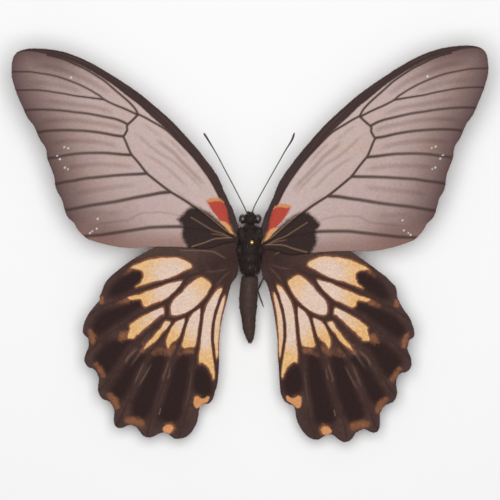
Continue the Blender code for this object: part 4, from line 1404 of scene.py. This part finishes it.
@dataclass(frozen=True)
class ForewingScales:
    """The forewing's scales."""

    groups: Groups
    surface: Surface = Surface(roughness=0.62, gloss=0.12, relief=0.3, depth=0.04)

    def material(self) -> bpy.types.Material:
        """Builds the material from the wing's painted masks."""
        material, graph = new_material("forewing_scales")
        spot = graph.place()
        margin = graph.painted("margin")
        ground = graph.ramp(
            graph.math("DIVIDE", margin, 32.0),
            [
                (0.0, shade(98, 74, 74)),
                (0.075, shade(122, 98, 95)),
                (0.19, shade(152, 126, 121)),
                (0.31, shade(178, 152, 147)),
                (0.5, shade(200, 175, 170)),
                (0.95, shade(212, 188, 183)),
            ],
        )
        tan = graph.range(graph.noise(spot, 7.0, 2.0, 0.5), 0.45, 0.7, 0.0, 0.5)
        ground = graph.mix(tan, ground, graph.mix(1.0, ground, (0.98, 0.93, 0.83, 1), "MULTIPLY"))
        rear = graph.range(graph.painted("rear"), 0.0, 7.5, 1.0, 0.0)
        ground = graph.mix(graph.math("MULTIPLY", rear, 0.8), ground, shade(150, 114, 105))
        folded = graph.math("MULTIPLY", graph.painted("fold"), 0.62)
        colour = graph.mix(folded, ground, graph.mix(1.0, ground, (0.42, 0.36, 0.36, 1), "MULTIPLY"))
        colour = graph.mix(graph.math("MULTIPLY", graph.painted("vein"), 0.92), colour, shade(64, 44, 40))
        streaks = graph.add("ShaderNodeCombineXYZ")
        graph.feed(streaks.inputs[0], graph.math("MULTIPLY", graph.painted("edge"), 1.0 * MM))
        graph.feed(streaks.inputs[1], graph.math("MULTIPLY", graph.painted("run"), 0.03 * MM))
        lines = graph.range(graph.noise(streaks.outputs[0], 0.45, 2.0, 0.6), 0.5, 0.72)
        band = graph.mix(graph.math("MULTIPLY", lines, 0.5), shade(66, 48, 46), shade(104, 82, 77))
        rag = graph.group(self.groups.ragged, Depth=graph.painted("costa"), Rag=0.18, Softness=0.35)
        colour = graph.mix(rag.outputs["Mask"], colour, band)
        rag = graph.group(self.groups.ragged, Depth=graph.painted("black"), Rag=0.75, Softness=0.9)
        dark = graph.mix(graph.noise(spot, 0.5, 2.0, 0.6), shade(36, 25, 24), shade(64, 46, 41))
        colour = graph.mix(rag.outputs["Mask"], colour, dark)
        for mask, rag_size, near, far in (
            ("orange", 0.5, (238, 176, 110), (196, 116, 84)),
            ("red", 0.4, (206, 84, 66), (176, 62, 52)),
            ("yellow", 0.25, (236, 186, 118), (214, 142, 92)),
        ):
            rag = graph.group(self.groups.ragged, Depth=graph.painted(mask), Rag=rag_size, Softness=0.3)
            tone = graph.mix(graph.noise(spot, 0.35, 2.0, 0.7), shade(*near), shade(*far))
            colour = graph.mix(rag.outputs["Mask"], colour, tone)
        colour = graph.mix(graph.math("MULTIPLY", graph.painted("pale"), 0.75), colour, shade(176, 138, 110))
        colour = graph.mix(graph.painted("fleck"), colour, shade(240, 236, 232))
        grain = graph.group(self.groups.grain, Vector=spot, Contrast=0.28)
        colour = graph.mix(1.0, colour, self.grey(graph, grain.outputs["Shade"]), "MULTIPLY")
        self.surface.close(graph, colour, grain.outputs["Height"])
        return material

    @staticmethod
    def grey(graph: Graph, value: bpy.types.NodeSocket) -> bpy.types.NodeSocket:
        """Turns one number into a grey colour."""
        node = graph.add("ShaderNodeCombineColor")
        for socket in node.inputs:
            graph.feed(socket, value)
        return node.outputs[0]


@dataclass(frozen=True)
class HindwingScales:
    """The hindwing's scales."""

    groups: Groups
    surface: Surface = Surface(roughness=0.68, gloss=0.1, relief=0.35, depth=0.05)

    def material(self) -> bpy.types.Material:
        """Builds the material from the wing's painted masks."""
        material, graph = new_material("hindwing_scales")
        spot = graph.place()
        colour = graph.mix(
            graph.range(graph.noise(spot, 3.5, 2.0, 0.6), 0.35, 0.7), shade(70, 49, 45), shade(84, 60, 55)
        )
        colour = graph.mix(graph.painted("front"), colour, shade(90, 70, 61))
        hem = graph.range(graph.painted("margin"), 0.0, 3.0, 0.6, 0.0)
        colour = graph.mix(hem, colour, shade(82, 62, 61))
        deep = graph.range(graph.painted("velvet"), -1.2, 1.4)
        colour = graph.mix(deep, colour, shade(48, 31, 30))
        base = graph.math("MULTIPLY", graph.painted("base"), 0.75)
        colour = graph.mix(base, colour, shade(56, 38, 35))
        rag = graph.group(self.groups.ragged, Depth=graph.math("SUBTRACT", graph.painted("rust"), 0.55), Rag=0.4,
                          Softness=0.5)
        rust = graph.mix(graph.noise(spot, 0.4, 2.0, 0.7), shade(196, 128, 84), shade(104, 66, 52))
        colour = graph.mix(graph.math("MULTIPLY", rag.outputs["Mask"], 0.75), colour, rust)
        halo = graph.group(self.groups.ragged, Depth=graph.math("ADD", graph.painted("patch"), 0.45), Rag=0.5,
                           Softness=0.3)
        colour = graph.mix(graph.math("MULTIPLY", halo.outputs["Mask"], 0.8), colour, shade(150, 92, 62))
        pale = graph.mix(graph.range(graph.noise(spot, 0.9, 2.0, 0.6), 0.3, 0.7), shade(240, 184, 118),
                         shade(246, 204, 144))
        pale = graph.mix(graph.painted("cream"), pale, shade(240, 211, 192))
        rag = graph.group(self.groups.ragged, Depth=graph.painted("patch"), Rag=0.22, Softness=0.25)
        colour = graph.mix(rag.outputs["Mask"], colour, pale)
        rag = graph.group(self.groups.ragged, Depth=graph.painted("orange"), Rag=0.3, Softness=0.25)
        colour = graph.mix(rag.outputs["Mask"], colour, shade(226, 158, 104))
        veined = graph.math("MULTIPLY", graph.painted("vein"), 0.85)
        colour = graph.mix(veined, colour, shade(72, 50, 44))
        colour = graph.mix(graph.math("MULTIPLY", graph.painted("pale"), 0.6), colour, shade(160, 126, 112))
        grain = graph.group(self.groups.grain, Vector=spot, Contrast=0.45)
        colour = graph.mix(1.0, colour, ForewingScales.grey(graph, grain.outputs["Shade"]), "MULTIPLY")
        self.surface.close(graph, colour, grain.outputs["Height"])
        return material


@dataclass(frozen=True)
class HairFinish:
    """Hair that is darker at its root: a dark and a light colour, and a rare pale one."""

    groups: Groups
    name: str
    dark: Colour
    light: Colour
    pale: Colour
    pale_share: float = 0.04
    surface: Surface = Surface(roughness=0.55, gloss=0.35)

    def material(self) -> bpy.types.Material:
        """Builds the material from each hair's own tone."""
        material, graph = new_material(self.name)
        tone, along = graph.painted("tone"), graph.painted("along")
        shared = graph.group(self.groups.hair, Tone=tone, Along=along)
        colour = graph.mix(shared.outputs["Share"], self.dark, self.light)
        rare = graph.range(tone, 1.0 - self.pale_share, 1.0 - self.pale_share * 0.7)
        colour = graph.mix(rare, colour, self.pale)
        self.surface.close(graph, colour, None, shared.outputs["Roughness"])
        return material


@dataclass(frozen=True)
class HornFinish:
    """Bare horn: two close colours, broken by pits."""

    groups: Groups
    name: str
    first: Colour
    second: Colour
    surface: Surface = Surface(roughness=0.42, gloss=0.4, relief=0.4, depth=0.03)
    size: float = 1.0

    def material(self) -> bpy.types.Material:
        """Builds the material."""
        material, graph = new_material(self.name)
        pits = graph.group(self.groups.horn, Size=self.size)
        spot = graph.place()
        colour = graph.mix(graph.range(graph.noise(spot, 0.5 / self.size, 3.0, 0.6), 0.3, 0.7), self.first, self.second)
        colour = graph.mix(1.0, colour, ForewingScales.grey(graph, pits.outputs["Shade"]), "MULTIPLY")
        rough = graph.range(pits.outputs["Height"], 0.3, 0.7, self.surface.roughness - 0.1, self.surface.roughness + 0.12)
        self.surface.close(graph, colour, pits.outputs["Height"], rough)
        return material


@dataclass(frozen=True)
class EyeFinish:
    """A dark glossy eye with fine facets."""

    name: str = "eye_facets"
    surface: Surface = Surface(roughness=0.2, gloss=0.6, relief=0.25, depth=0.012, coat=0.6)

    def material(self) -> bpy.types.Material:
        """Builds the material."""
        material, graph = new_material(self.name)
        spot = graph.place()
        facets = graph.add("ShaderNodeTexVoronoi", feature="F1")
        graph.feed(facets.inputs["Vector"], spot)
        facets.inputs["Scale"].default_value = 1 / (0.09 * MM)
        glow = graph.range(graph.noise(spot, 0.9, 1.0, 0.5), 0.35, 0.7)
        colour = graph.mix(glow, shade(38, 26, 28), shade(74, 56, 58))
        height = graph.math("SUBTRACT", 1.0, facets.outputs["Distance"])
        rough = graph.range(facets.outputs["Distance"], 0.0, 0.6, 0.14, 0.3)
        self.surface.close(graph, colour, height, rough)
        return material


@dataclass(frozen=True)
class MetalFinish:
    """Drawn or rolled metal with fine wear: two colours and a dull tarnish."""

    name: str
    bright: Colour
    dull: Colour
    surface: Surface = Surface(roughness=0.2, gloss=0.5, relief=0.15, depth=0.01, metallic=1.0)

    def material(self) -> bpy.types.Material:
        """Builds the material."""
        material, graph = new_material(self.name)
        spot = graph.place()
        tarnish = graph.range(graph.noise(spot, 0.35, 3.0, 0.6), 0.45, 0.75)
        colour = graph.mix(tarnish, self.bright, self.dull)
        fine = graph.noise(graph.place(stretch=(1, 1, 0.2)), 0.06, 2.0, 0.6)
        rough = graph.math("ADD", graph.math("MULTIPLY", tarnish, 0.2), self.surface.roughness)
        self.surface.close(graph, colour, fine, rough)
        return material


@dataclass
class RingedBody:
    """A body section drawn ring by ring along the midline.

    Attributes:
        name: The piece's name.
        rings: y, x, z, half width, height above and height below, in millimetres.
        sides: Corners of each ring.
    """

    name: str
    rings: tuple[tuple[float, ...], ...]
    sides: int = 20

    def skin(self) -> bpy.types.Object:
        """Extrudes the first ring through all the others and rounds the result."""
        Bench.clear_hands()
        y, x, z, half, up, down = self.rings[0]
        bpy.ops.mesh.primitive_circle_add(
            vertices=self.sides,
            radius=MM,
            fill_type="NGON",
            location=(x * MM, y * MM, z * MM),
            rotation=(math.pi / 2, 0, 0),
        )
        item = Bench.added(self.name)
        Bench.settle(item)
        bpy.ops.object.mode_set(mode="EDIT")
        bpy.ops.mesh.select_all(action="SELECT")
        wide, tall = 1.0, 1.0
        for index, (y, x, z, half, up, down) in enumerate(self.rings):
            centre = (x * MM, y * MM, (z + (up - down) / 2) * MM)
            if index:
                before = self.rings[index - 1]
                old = (before[1], before[0], before[2] + (before[4] - before[5]) / 2)
                new = (x, y, z + (up - down) / 2)
                step = tuple((b - a) * MM for a, b in zip(old, new))
                bpy.ops.mesh.extrude_region_move(TRANSFORM_OT_translate={"value": step})
            else:
                bpy.ops.transform.translate(value=(0, 0, (up - down) / 2 * MM))
            tall_new = (up + down) / 2
            bpy.ops.transform.resize(
                value=(half / wide, 1.0, tall_new / tall), center_override=centre, orient_type="GLOBAL"
            )
            wide, tall = half, tall_new
        bpy.ops.mesh.select_all(action="SELECT")
        bpy.ops.mesh.normals_make_consistent(inside=False)
        bpy.ops.object.mode_set(mode="OBJECT")
        rounding = item.modifiers.new("rounding", "SUBSURF")
        rounding.levels = rounding.render_levels = 2
        Bench.apply_all(item)
        Bench.smooth(item)
        return item


THORAX_RINGS = (
    (5.0, 0.1, 6.4, 1.3, 1.4, 1.6),
    (4.3, 0.1, 6.0, 2.0, 2.4, 2.7),
    (3.3, 0.1, 5.5, 2.5, 3.5, 4.1),
    (1.9, 0.1, 5.1, 2.9, 4.55, 5.5),
    (0.2, 0.1, 5.0, 3.05, 5.0, 6.1),
    (-1.8, 0.1, 5.0, 3.1, 5.0, 6.1),
    (-3.8, 0.1, 5.0, 3.0, 4.7, 5.9),
    (-5.6, 0.1, 5.1, 2.8, 4.1, 5.1),
    (-7.0, 0.1, 5.2, 2.5, 3.4, 3.8),
    (-8.1, 0.0, 5.3, 2.1, 2.6, 2.7),
)
# The joints of the abdomen: y, x, z, half width, height above and below.
ABDOMEN_RINGS = (
    (-8.5, 0.0, 5.4, 1.9, 1.9, 1.9),
    (-9.6, 0.0, 5.35, 2.3, 2.2, 2.2),
    (-11.2, -0.15, 5.3, 2.42, 2.35, 2.4),
    (-13.2, -0.3, 5.15, 2.48, 2.4, 2.5),
    (-15.3, -0.38, 5.0, 2.5, 2.36, 2.45),
    (-17.5, -0.42, 4.75, 2.38, 2.2, 2.3),
    (-19.4, -0.34, 4.5, 2.02, 1.95, 2.05),
    (-21.2, -0.25, 4.3, 1.85, 1.8, 1.85),
    (-23.0, -0.2, 4.1, 1.7, 1.62, 1.65),
    (-24.6, -0.05, 3.95, 1.34, 1.3, 1.3),
    (-25.9, 0.06, 3.85, 0.96, 0.98, 0.98),
    (-26.9, 0.13, 3.8, 0.5, 0.52, 0.52),
)


@dataclass
class Thorax:
    """The thorax: a hairy dome with shoulder plates, a collar and a rear shield."""

    coat_length: tuple[float, float] = (0.55, 1.5)
    hairs: int = 5200

    def build(self, coat: Hair, fur: bpy.types.Material) -> None:
        """Makes the skin, its plates and its hairs."""
        skin = RingedBody("thorax_skin", THORAX_RINGS).skin()
        plates = [skin]
        for x, y, z, long, wide, thick, turn in (
            (-1.95, 2.6, 8.55, 2.1, 1.05, 0.75, 0.35),
            (2.15, 2.6, 8.55, 2.1, 1.05, 0.75, -0.35),
            (-0.55, 4.85, 7.75, 0.62, 0.95, 0.55, 0.2),
            (0.8, 4.85, 7.75, 0.62, 0.95, 0.55, -0.2),
            (0.1, -3.6, 9.35, 1.35, 1.75, 0.7, 0.0),
            (0.1, -6.0, 8.45, 1.1, 1.6, 0.6, 0.0),
            (-2.6, -1.6, 7.6, 1.4, 0.9, 1.0, 0.1),
            (2.8, -1.6, 7.6, 1.4, 0.9, 1.0, -0.1),
        ):
            Bench.clear_hands()
            bpy.ops.mesh.primitive_uv_sphere_add(segments=24, ring_count=14, radius=MM, location=(0, 0, 0))
            plate = Bench.added("thorax_plate")
            plate.scale = (wide, long, thick)
            plate.rotation_euler = (0, 0, turn)
            plate.location = (x * MM, y * MM, z * MM)
            Bench.settle(plate)
            plates.append(plate)
        skin = Bench.join("thorax_skin", plates)
        Bench.smooth(skin)
        clear = 0.62

        def grows(at: np.ndarray, normal: np.ndarray) -> np.ndarray:
            """Keeps hair off the pin."""
            return np.hypot(at[:, 0] - Pin.x, at[:, 1] - Pin.y) > clear

        back = coat.coat(
            "thorax_hair", skin, self.hairs, self.coat_length, 0.035, (0, -1, -0.15), 0.35, 0.25, 0.28, grows
        )
        for item in (skin,):
            for name, value in (("tone", 0.1), ("along", 0.0)):
                Bench.paint(item, name, np.full(len(item.data.vertices), value))
        thorax = Bench.join("thorax_furred", [skin, back])
        Bench.dress(thorax, fur)
        Bench.hand_over(thorax, "body_hair", "thorax")


@dataclass
class Abdomen:
    """The abdomen: overlapping rings under short hair."""

    hairs: int = 6500

    def build(self, coat: Hair, fur: bpy.types.Material) -> None:
        """Makes the stepped rings and their hairs."""
        rings = []
        for index, ring in enumerate(ABDOMEN_RINGS):
            y, x, z, half, up, down = ring
            if 0 < index < len(ABDOMEN_RINGS) - 1:
                rings.append((y + 0.1, x, z, half + 0.03, up + 0.03, down + 0.03))
                rings.append((y - 0.06, x, z, half - 0.1, up - 0.1, down - 0.08))
            else:
                rings.append(ring)
        skin = RingedBody("abdomen_skin", tuple(rings), 24).skin()
        places = Bench.points_of(skin) / MM
        edges = np.array([ring[0] for ring in ABDOMEN_RINGS[1:-1]])
        near = np.abs(places[:, 1:2] - (edges + 0.12)[None]).min(1)
        hair = coat.coat("abdomen_hair", skin, self.hairs, (0.35, 0.75), 0.03, (0, -1, 0), 0.16, 0.12, 0.16)
        hair_spots = Bench.points_of(hair) / MM
        self.paint(skin, near, np.full(len(places), 0.35), np.zeros(len(places)))
        spread = np.abs(hair_spots[:, 1:2] - (edges + 0.12)[None]).min(1)
        tone = np.empty(len(hair_spots))
        hair.data.attributes["tone"].data.foreach_get("value", tone)
        along = np.empty(len(hair_spots))
        hair.data.attributes["along"].data.foreach_get("value", along)
        hair.data.attributes.remove(hair.data.attributes["tone"])
        hair.data.attributes.remove(hair.data.attributes["along"])
        self.paint(hair, spread, tone, along)
        abdomen = Bench.join("abdomen_furred", [skin, hair])
        Bench.dress(abdomen, fur)
        Bench.hand_over(abdomen, "abdomen_hair", "abdomen")

    @staticmethod
    def paint(item: bpy.types.Object, near: np.ndarray, tone: np.ndarray, along: np.ndarray) -> None:
        """Stores the distance to the nearest ring's edge, the tone and the place along a hair."""
        Bench.paint(item, "ring", near)
        Bench.paint(item, "tone", tone)
        Bench.paint(item, "along", along)


@dataclass
class Head:
    """The head: a hairy ball with two eyes and two palps."""

    centre: tuple[float, float, float] = (0.15, 6.85, 6.5)
    radii: tuple[float, float, float] = (1.75, 1.42, 1.7)
    eye_radii: tuple[float, float, float] = (1.05, 1.36, 1.5)
    palp_radii: tuple[float, float, float] = (0.36, 0.45, 0.95)

    @staticmethod
    def ball(name: str, centre: tuple, radii: tuple, segments: int = 32, rings: int = 18) -> bpy.types.Object:
        """Shapes a ball into an oval."""
        Bench.clear_hands()
        bpy.ops.mesh.primitive_uv_sphere_add(segments=segments, ring_count=rings, radius=MM)
        item = Bench.added(name)
        item.scale = radii
        item.location = tuple(value * MM for value in centre)
        Bench.settle(item)
        Bench.smooth(item)
        return item

    def build(self, coat: Hair, fur: bpy.types.Material, eye: bpy.types.Material) -> None:
        """Makes the head, its tufts, the eyes and the palps."""
        skin = self.ball("head_skin", self.centre, self.radii)
        spots = Bench.points_of(skin)
        for name, value in (("tone", 0.15), ("along", 0.0)):
            Bench.paint(skin, name, np.full(len(spots), value))
        hair = coat.coat("head_hair", skin, 1500, (0.25, 0.7), 0.03, (0, 0.5, -0.3), 0.8, 0.2, 0.35)
        head = Bench.join("head_furred", [skin, hair])
        Bench.dress(head, fur)
        Bench.hand_over(head, "body_hair", "head")
        for name, x in (("eye_left", -1.92), ("eye_right", 2.2)):
            ball = self.ball(name + "_faceted", (x, 6.95, 6.45), self.eye_radii, 40, 24)
            Bench.dress(ball, eye)
            Bench.hand_over(ball, "eye", name)
        for name, x in (("palp_left", -0.3), ("palp_right", 0.58)):
            skin = self.ball(name + "_skin", (x, 8.3, 5.6), self.palp_radii, 20, 12)
            for label, value in (("tone", 0.15), ("along", 0.0)):
                Bench.paint(skin, label, np.full(len(skin.data.vertices), value))
            hair = coat.coat(name + "_hair", skin, 260, (0.25, 0.55), 0.03, (0, 0.7, -0.5), 0.7, 0.1, 0.3)
            palp = Bench.join(name + "_furred", [skin, hair])
            Bench.dress(palp, fur)
            Bench.hand_over(palp, "body_hair", name)


@dataclass
class Antenna:
    """An antenna: many short rings and a club."""

    name: str
    points: tuple[tuple[float, float, float, float], ...]
    ring_length: float = 0.62

    def build(self, horn: bpy.types.Material) -> None:
        """Makes the ringed rod."""
        spots = smooth_line(np.array(self.points), parts=6)
        runs = np.linalg.norm(np.diff(spots[:, :3], axis=0), axis=1)
        marks = np.concatenate([[0.0], np.cumsum(runs)])
        count = int(marks[-1] / self.ring_length)
        along = np.concatenate([[k, k + 0.12, k + 0.5, k + 0.88] for k in range(count)] + [[count]])
        along = along / count * marks[-1]
        swell = np.concatenate([[0.86, 0.98, 1.04, 1.0]] * count + [[0.5]])
        line = np.stack([np.interp(along, marks, spots[:, axis]) for axis in range(3)], axis=1)
        radii = np.interp(along, marks, spots[:, 3]) * swell
        rod = Bench.tube(self.name + "_ringed", line * MM, radii * MM, 12)
        Bench.dress(rod, horn)
        Bench.hand_over(rod, "antenna", self.name)


ANTENNAE = (
    Antenna(
        "antenna_left",
        (
            (-0.5, 8.15, 7.75, 0.20), (-0.95, 9.0, 7.95, 0.16), (-2.0, 11.2, 8.3, 0.15),
            (-4.05, 15.2, 8.9, 0.15), (-6.6, 20.0, 9.6, 0.15), (-8.6, 23.8, 10.1, 0.155),
            (-9.9, 26.05, 10.4, 0.17), (-10.9, 27.7, 10.6, 0.22), (-11.7, 29.0, 10.75, 0.28),
            (-12.25, 29.85, 10.85, 0.26), (-12.5, 30.25, 10.9, 0.14),
        ),
    ),
    Antenna(
        "antenna_right",
        (
            (0.55, 8.15, 7.75, 0.20), (0.85, 9.2, 7.95, 0.16), (1.75, 11.3, 8.3, 0.15),
            (3.9, 15.2, 8.9, 0.15), (6.6, 20.0, 9.6, 0.15), (8.4, 23.2, 10.1, 0.155),
            (9.7, 25.5, 10.4, 0.17), (10.8, 27.2, 10.6, 0.22), (11.55, 28.5, 10.75, 0.28),
            (11.95, 29.6, 10.85, 0.27), (12.15, 30.35, 10.9, 0.15),
        ),
    ),
)


@dataclass
class Leg:
    """A leg: thigh, shin and foot with short spines."""

    name: str
    points: tuple[tuple[float, float, float, float], ...]

    def build(self, coat: Hair, horn: bpy.types.Material) -> None:
        """Makes the tube and its spines."""
        spots = np.array(self.points)
        dense = []
        radii = []
        for index, (start, end) in enumerate(zip(spots[:-1], spots[1:])):
            for part, thick in ((0.0, 0.85), (0.12, 1.05), (0.5, 1.1), (0.88, 0.95)):
                dense.append(start[:3] + (end[:3] - start[:3]) * part)
                radii.append((start[3] + (end[3] - start[3]) * part) * thick)
        dense.append(spots[-1, :3])
        radii.append(spots[-1, 3] * 0.5)
        tube = Bench.tube(self.name + "_tube", np.array(dense) * MM, np.array(radii) * MM, 10)
        spines = coat.coat(self.name + "_spines", tube, 150, (0.2, 0.42), 0.03, (0, -0.6, -0.3), 0.7, 0.0, 0.2)
        for item in (tube,):
            for label, value in (("tone", 0.1), ("along", 0.0)):
                Bench.paint(item, label, np.full(len(item.data.vertices), value))
        leg = Bench.join(self.name + "_spined", [tube, spines])
        Bench.dress(leg, horn)
        Bench.hand_over(leg, "leg", self.name)


LEGS = (
    Leg(
        "leg_front_left",
        (
            (-2.95, 2.9, 1.6, 0.3), (-4.0, 4.4, 2.2, 0.34), (-5.1, 5.9, 2.5, 0.22),
            (-5.5, 4.0, 1.4, 0.2), (-5.6, 1.9, 0.5, 0.16), (-5.2, -0.2, 0.3, 0.14),
            (-4.9, -1.8, 0.3, 0.1),
        ),
    ),
    Leg(
        "leg_middle_left",
        (
            (-3.5, -0.7, 1.4, 0.32), (-5.2, 0.6, 2.3, 0.36), (-7.2, 1.3, 2.7, 0.22),
            (-7.8, -1.0, 1.7, 0.2), (-8.0, -3.6, 0.5, 0.16), (-7.8, -5.6, 0.3, 0.14),
            (-7.4, -7.2, 0.3, 0.1),
        ),
    ),
    Leg(
        "leg_hind_left",
        (
            (-3.4, -4.3, 1.5, 0.32), (-4.8, -4.0, 2.4, 0.36), (-6.5, -4.4, 3.0, 0.22),
            (-6.9, -6.6, 2.0, 0.2), (-6.9, -9.2, 0.7, 0.17), (-7.4, -11.4, 0.35, 0.14),
            (-8.0, -13.4, 0.3, 0.1),
        ),
    ),
    Leg(
        "leg_front_right",
        (
            (3.15, 2.8, 1.6, 0.3), (4.2, 4.2, 2.2, 0.34), (5.4, 5.6, 2.5, 0.22),
            (5.8, 3.8, 1.4, 0.2), (6.0, 1.7, 0.5, 0.16), (5.5, -0.3, 0.3, 0.14),
            (5.0, -2.0, 0.3, 0.1),
        ),
    ),
    Leg(
        "leg_middle_right",
        (
            (3.65, -0.9, 1.4, 0.32), (5.4, 0.2, 2.3, 0.36), (7.4, 0.9, 2.7, 0.22),
            (8.0, -1.4, 1.7, 0.2), (8.3, -4.0, 0.5, 0.16), (8.0, -6.0, 0.3, 0.14),
            (7.7, -7.6, 0.3, 0.1),
        ),
    ),
    Leg(
        "leg_hind_right",
        (
            (3.55, -4.4, 1.5, 0.32), (4.4, -5.6, 2.2, 0.36), (4.7, -7.6, 2.5, 0.22),
            (3.3, -10.2, 1.7, 0.19), (2.2, -12.6, 1.1, 0.17), (2.95, -14.9, 0.6, 0.15),
            (3.6, -16.6, 0.35, 0.13), (3.8, -17.2, 0.3, 0.1),
        ),
    ),
)


@dataclass
class Pin:
    """The insect pin: a steel shaft and a small brass head on a neck."""

    x: float = 0.6
    y: float = 0.5
    head_height: float = 13.2
    head_radius: float = 0.585
    shaft_radius: float = 0.225

    def build(self, steel: bpy.types.Material, brass: bpy.types.Material) -> None:
        """Makes the shaft and the head."""
        place = (self.x * MM, self.y * MM)
        line = np.array([(*place, height * MM) for height in (0.02, 0.8, 6.0, 12.0, self.head_height - 0.2)])
        radii = np.array([0.12, 1.0, 1.0, 1.0, 1.0]) * self.shaft_radius * MM
        radii[0] = self.shaft_radius * MM * 0.9
        shaft = Bench.tube("pin_shaft_drawn", line, radii, 24)
        Bench.dress(shaft, steel)
        Bench.hand_over(shaft, "pin_shaft", "pin_shaft")
        ball = Head.ball(
            "pin_ball", (self.x, self.y, self.head_height), (self.head_radius,) * 2 + (self.head_radius * 0.96,), 40, 24
        )
        neck_line = np.array([(*place, height * MM) for height in (11.35, 11.45, 12.3, 12.8, 12.95)])
        neck = Bench.tube("pin_neck", neck_line, np.array([0.24, 0.27, 0.27, 0.31, 0.3]) * MM, 24)
        head = Bench.join("pin_head_turned", [ball, neck])
        Bench.dress(head, brass)
        Bench.hand_over(head, "pin_head", "pin_head")


@dataclass
class Studio:
    """The pale floor, the soft lights and the camera straight above."""

    floor_size: float = 3.0
    lens: float = 400.0
    sensor: float = 36.0
    camera_x: float = 0.00008
    camera_y: float = -0.00157
    level: float = 0.008
    reach: float = 0.13627
    lamp_height: float = 0.5
    lamp_size: float = 0.55
    lamp_power: float = 2.72
    sky_strength: float = 0.248

    def build(self) -> None:
        """Sets everything that isn't the object."""
        self.floor()
        self.lamps()
        self.camera()
        bpy.context.scene.view_settings.view_transform = "Standard"

    def floor(self) -> None:
        """Lays the floor, with its slight paper tooth."""
        Bench.clear_hands()
        bpy.ops.mesh.primitive_plane_add(size=self.floor_size, location=(0, 0, 0))
        sheet = Bench.added("floor")
        material, graph = new_material("floor_paper")
        spot = graph.place()
        colour = graph.mix(graph.noise(spot, 30.0, 2.0, 0.5), shade(247, 247, 247), shade(249, 249, 249))
        Surface(roughness=0.9, gloss=0.0).close(graph, colour)
        Bench.dress(sheet, material)

    def lamps(self) -> None:
        """Hangs one broad lamp overhead in an even pale surround."""
        world = bpy.data.worlds.new("surround")
        world.use_nodes = True
        ground = world.node_tree.nodes["Background"]
        ground.inputs["Color"].default_value = (1, 1, 1, 1)
        ground.inputs["Strength"].default_value = self.sky_strength
        bpy.context.scene.world = world
        bpy.ops.object.light_add(type="AREA", location=(0.0, 0.06, self.lamp_height))
        lamp = bpy.context.active_object
        lamp.name = "overhead_lamp"
        lamp.data.shape = "SQUARE"
        lamp.data.size = self.lamp_size
        lamp.data.energy = self.lamp_power
        lamp.visible_camera = False

    def camera(self) -> None:
        """Sets the camera straight above, so far that the width of the picture is the reach at wing height."""
        distance = self.reach * self.lens / self.sensor
        bpy.ops.object.camera_add(
            location=(self.camera_x, self.camera_y, self.level + distance), rotation=(0, 0, 0)
        )
        camera = bpy.context.active_object
        camera.name = "camera"
        camera.data.lens = self.lens
        camera.data.sensor_width = self.sensor
        camera.data.clip_end = 20.0
        bpy.context.scene.camera = camera


def build_wings(groups: Groups, coat: Hair) -> None:
    """Makes the four wings."""
    fore_finish = ForewingScales(groups).material()
    hind_finish = HindwingScales(groups).material()
    same = Setting()
    right_fore = Setting(((1.021, -0.0145), (0.0375, 1.0135)), (-0.56, -2.1))
    right_hind = Setting(((0.9971, 0.0319), (-0.0513, 1.0141)), (0.299, 1.404))
    left_ring = smooth_line(drawn(FOREWING_OUTLINE), closed=True, parts=3)
    for side, setting in ((Side.LEFT, same), (Side.RIGHT, right_fore)):
        ring = setting.place(left_ring)
        ring[:, 0] = np.maximum(ring[:, 0], NEAREST_ROOT)
        wing = Forewing(side, ring, setting, 7.95)
        wing.build("forewing_" + side.name.lower(), coat, fore_finish, "forewing")
    for side, setting, text in (
        (Side.LEFT, same, LEFT_HINDWING_OUTLINE),
        (Side.RIGHT, right_hind, RIGHT_HINDWING_OUTLINE),
    ):
        ring = smooth_line(drawn(text), closed=True, parts=3)
        wing = Hindwing(side, ring, setting, 7.38)
        wing.build("hindwing_" + side.name.lower(), coat, hind_finish, "hindwing")


def build_body(groups: Groups, coat: Hair) -> None:
    """Makes the body with its head, antennae and legs."""
    fur = HairFinish(groups, "body_fur", shade(26, 18, 18), shade(74, 54, 50), shade(150, 128, 112)).material()
    belly = HairFinish(
        groups, "abdomen_fur", shade(44, 30, 27), shade(96, 74, 64), shade(140, 116, 100), 0.03
    ).material()
    horn = HornFinish(groups, "antenna_horn", shade(44, 38, 38), shade(66, 58, 57)).material()
    leg_horn = HornFinish(groups, "leg_horn", shade(34, 26, 24), shade(60, 46, 40)).material()
    eye = EyeFinish().material()
    Thorax().build(coat, fur)
    Abdomen().build(coat, belly)
    Head().build(coat, fur, eye)
    for antenna in ANTENNAE:
        antenna.build(horn)
    for leg in LEGS:
        leg.build(coat, leg_horn)


def main() -> None:
    """Builds the studio and the butterfly; each piece's face count is logged as it is put in place."""
    logging.basicConfig(level=logging.INFO, format="%(name)s: %(message)s")
    Studio().build()
    groups = Groups()
    coat = Hair()
    build_wings(groups, coat)
    build_body(groups, coat)
    steel = MetalFinish("pin_steel", shade(160, 158, 155), shade(110, 108, 106)).material()
    brass = MetalFinish("pin_brass", shade(232, 196, 120), shade(176, 134, 72)).material()
    Pin().build(steel, brass)


if __name__ == "__main__":
    main()
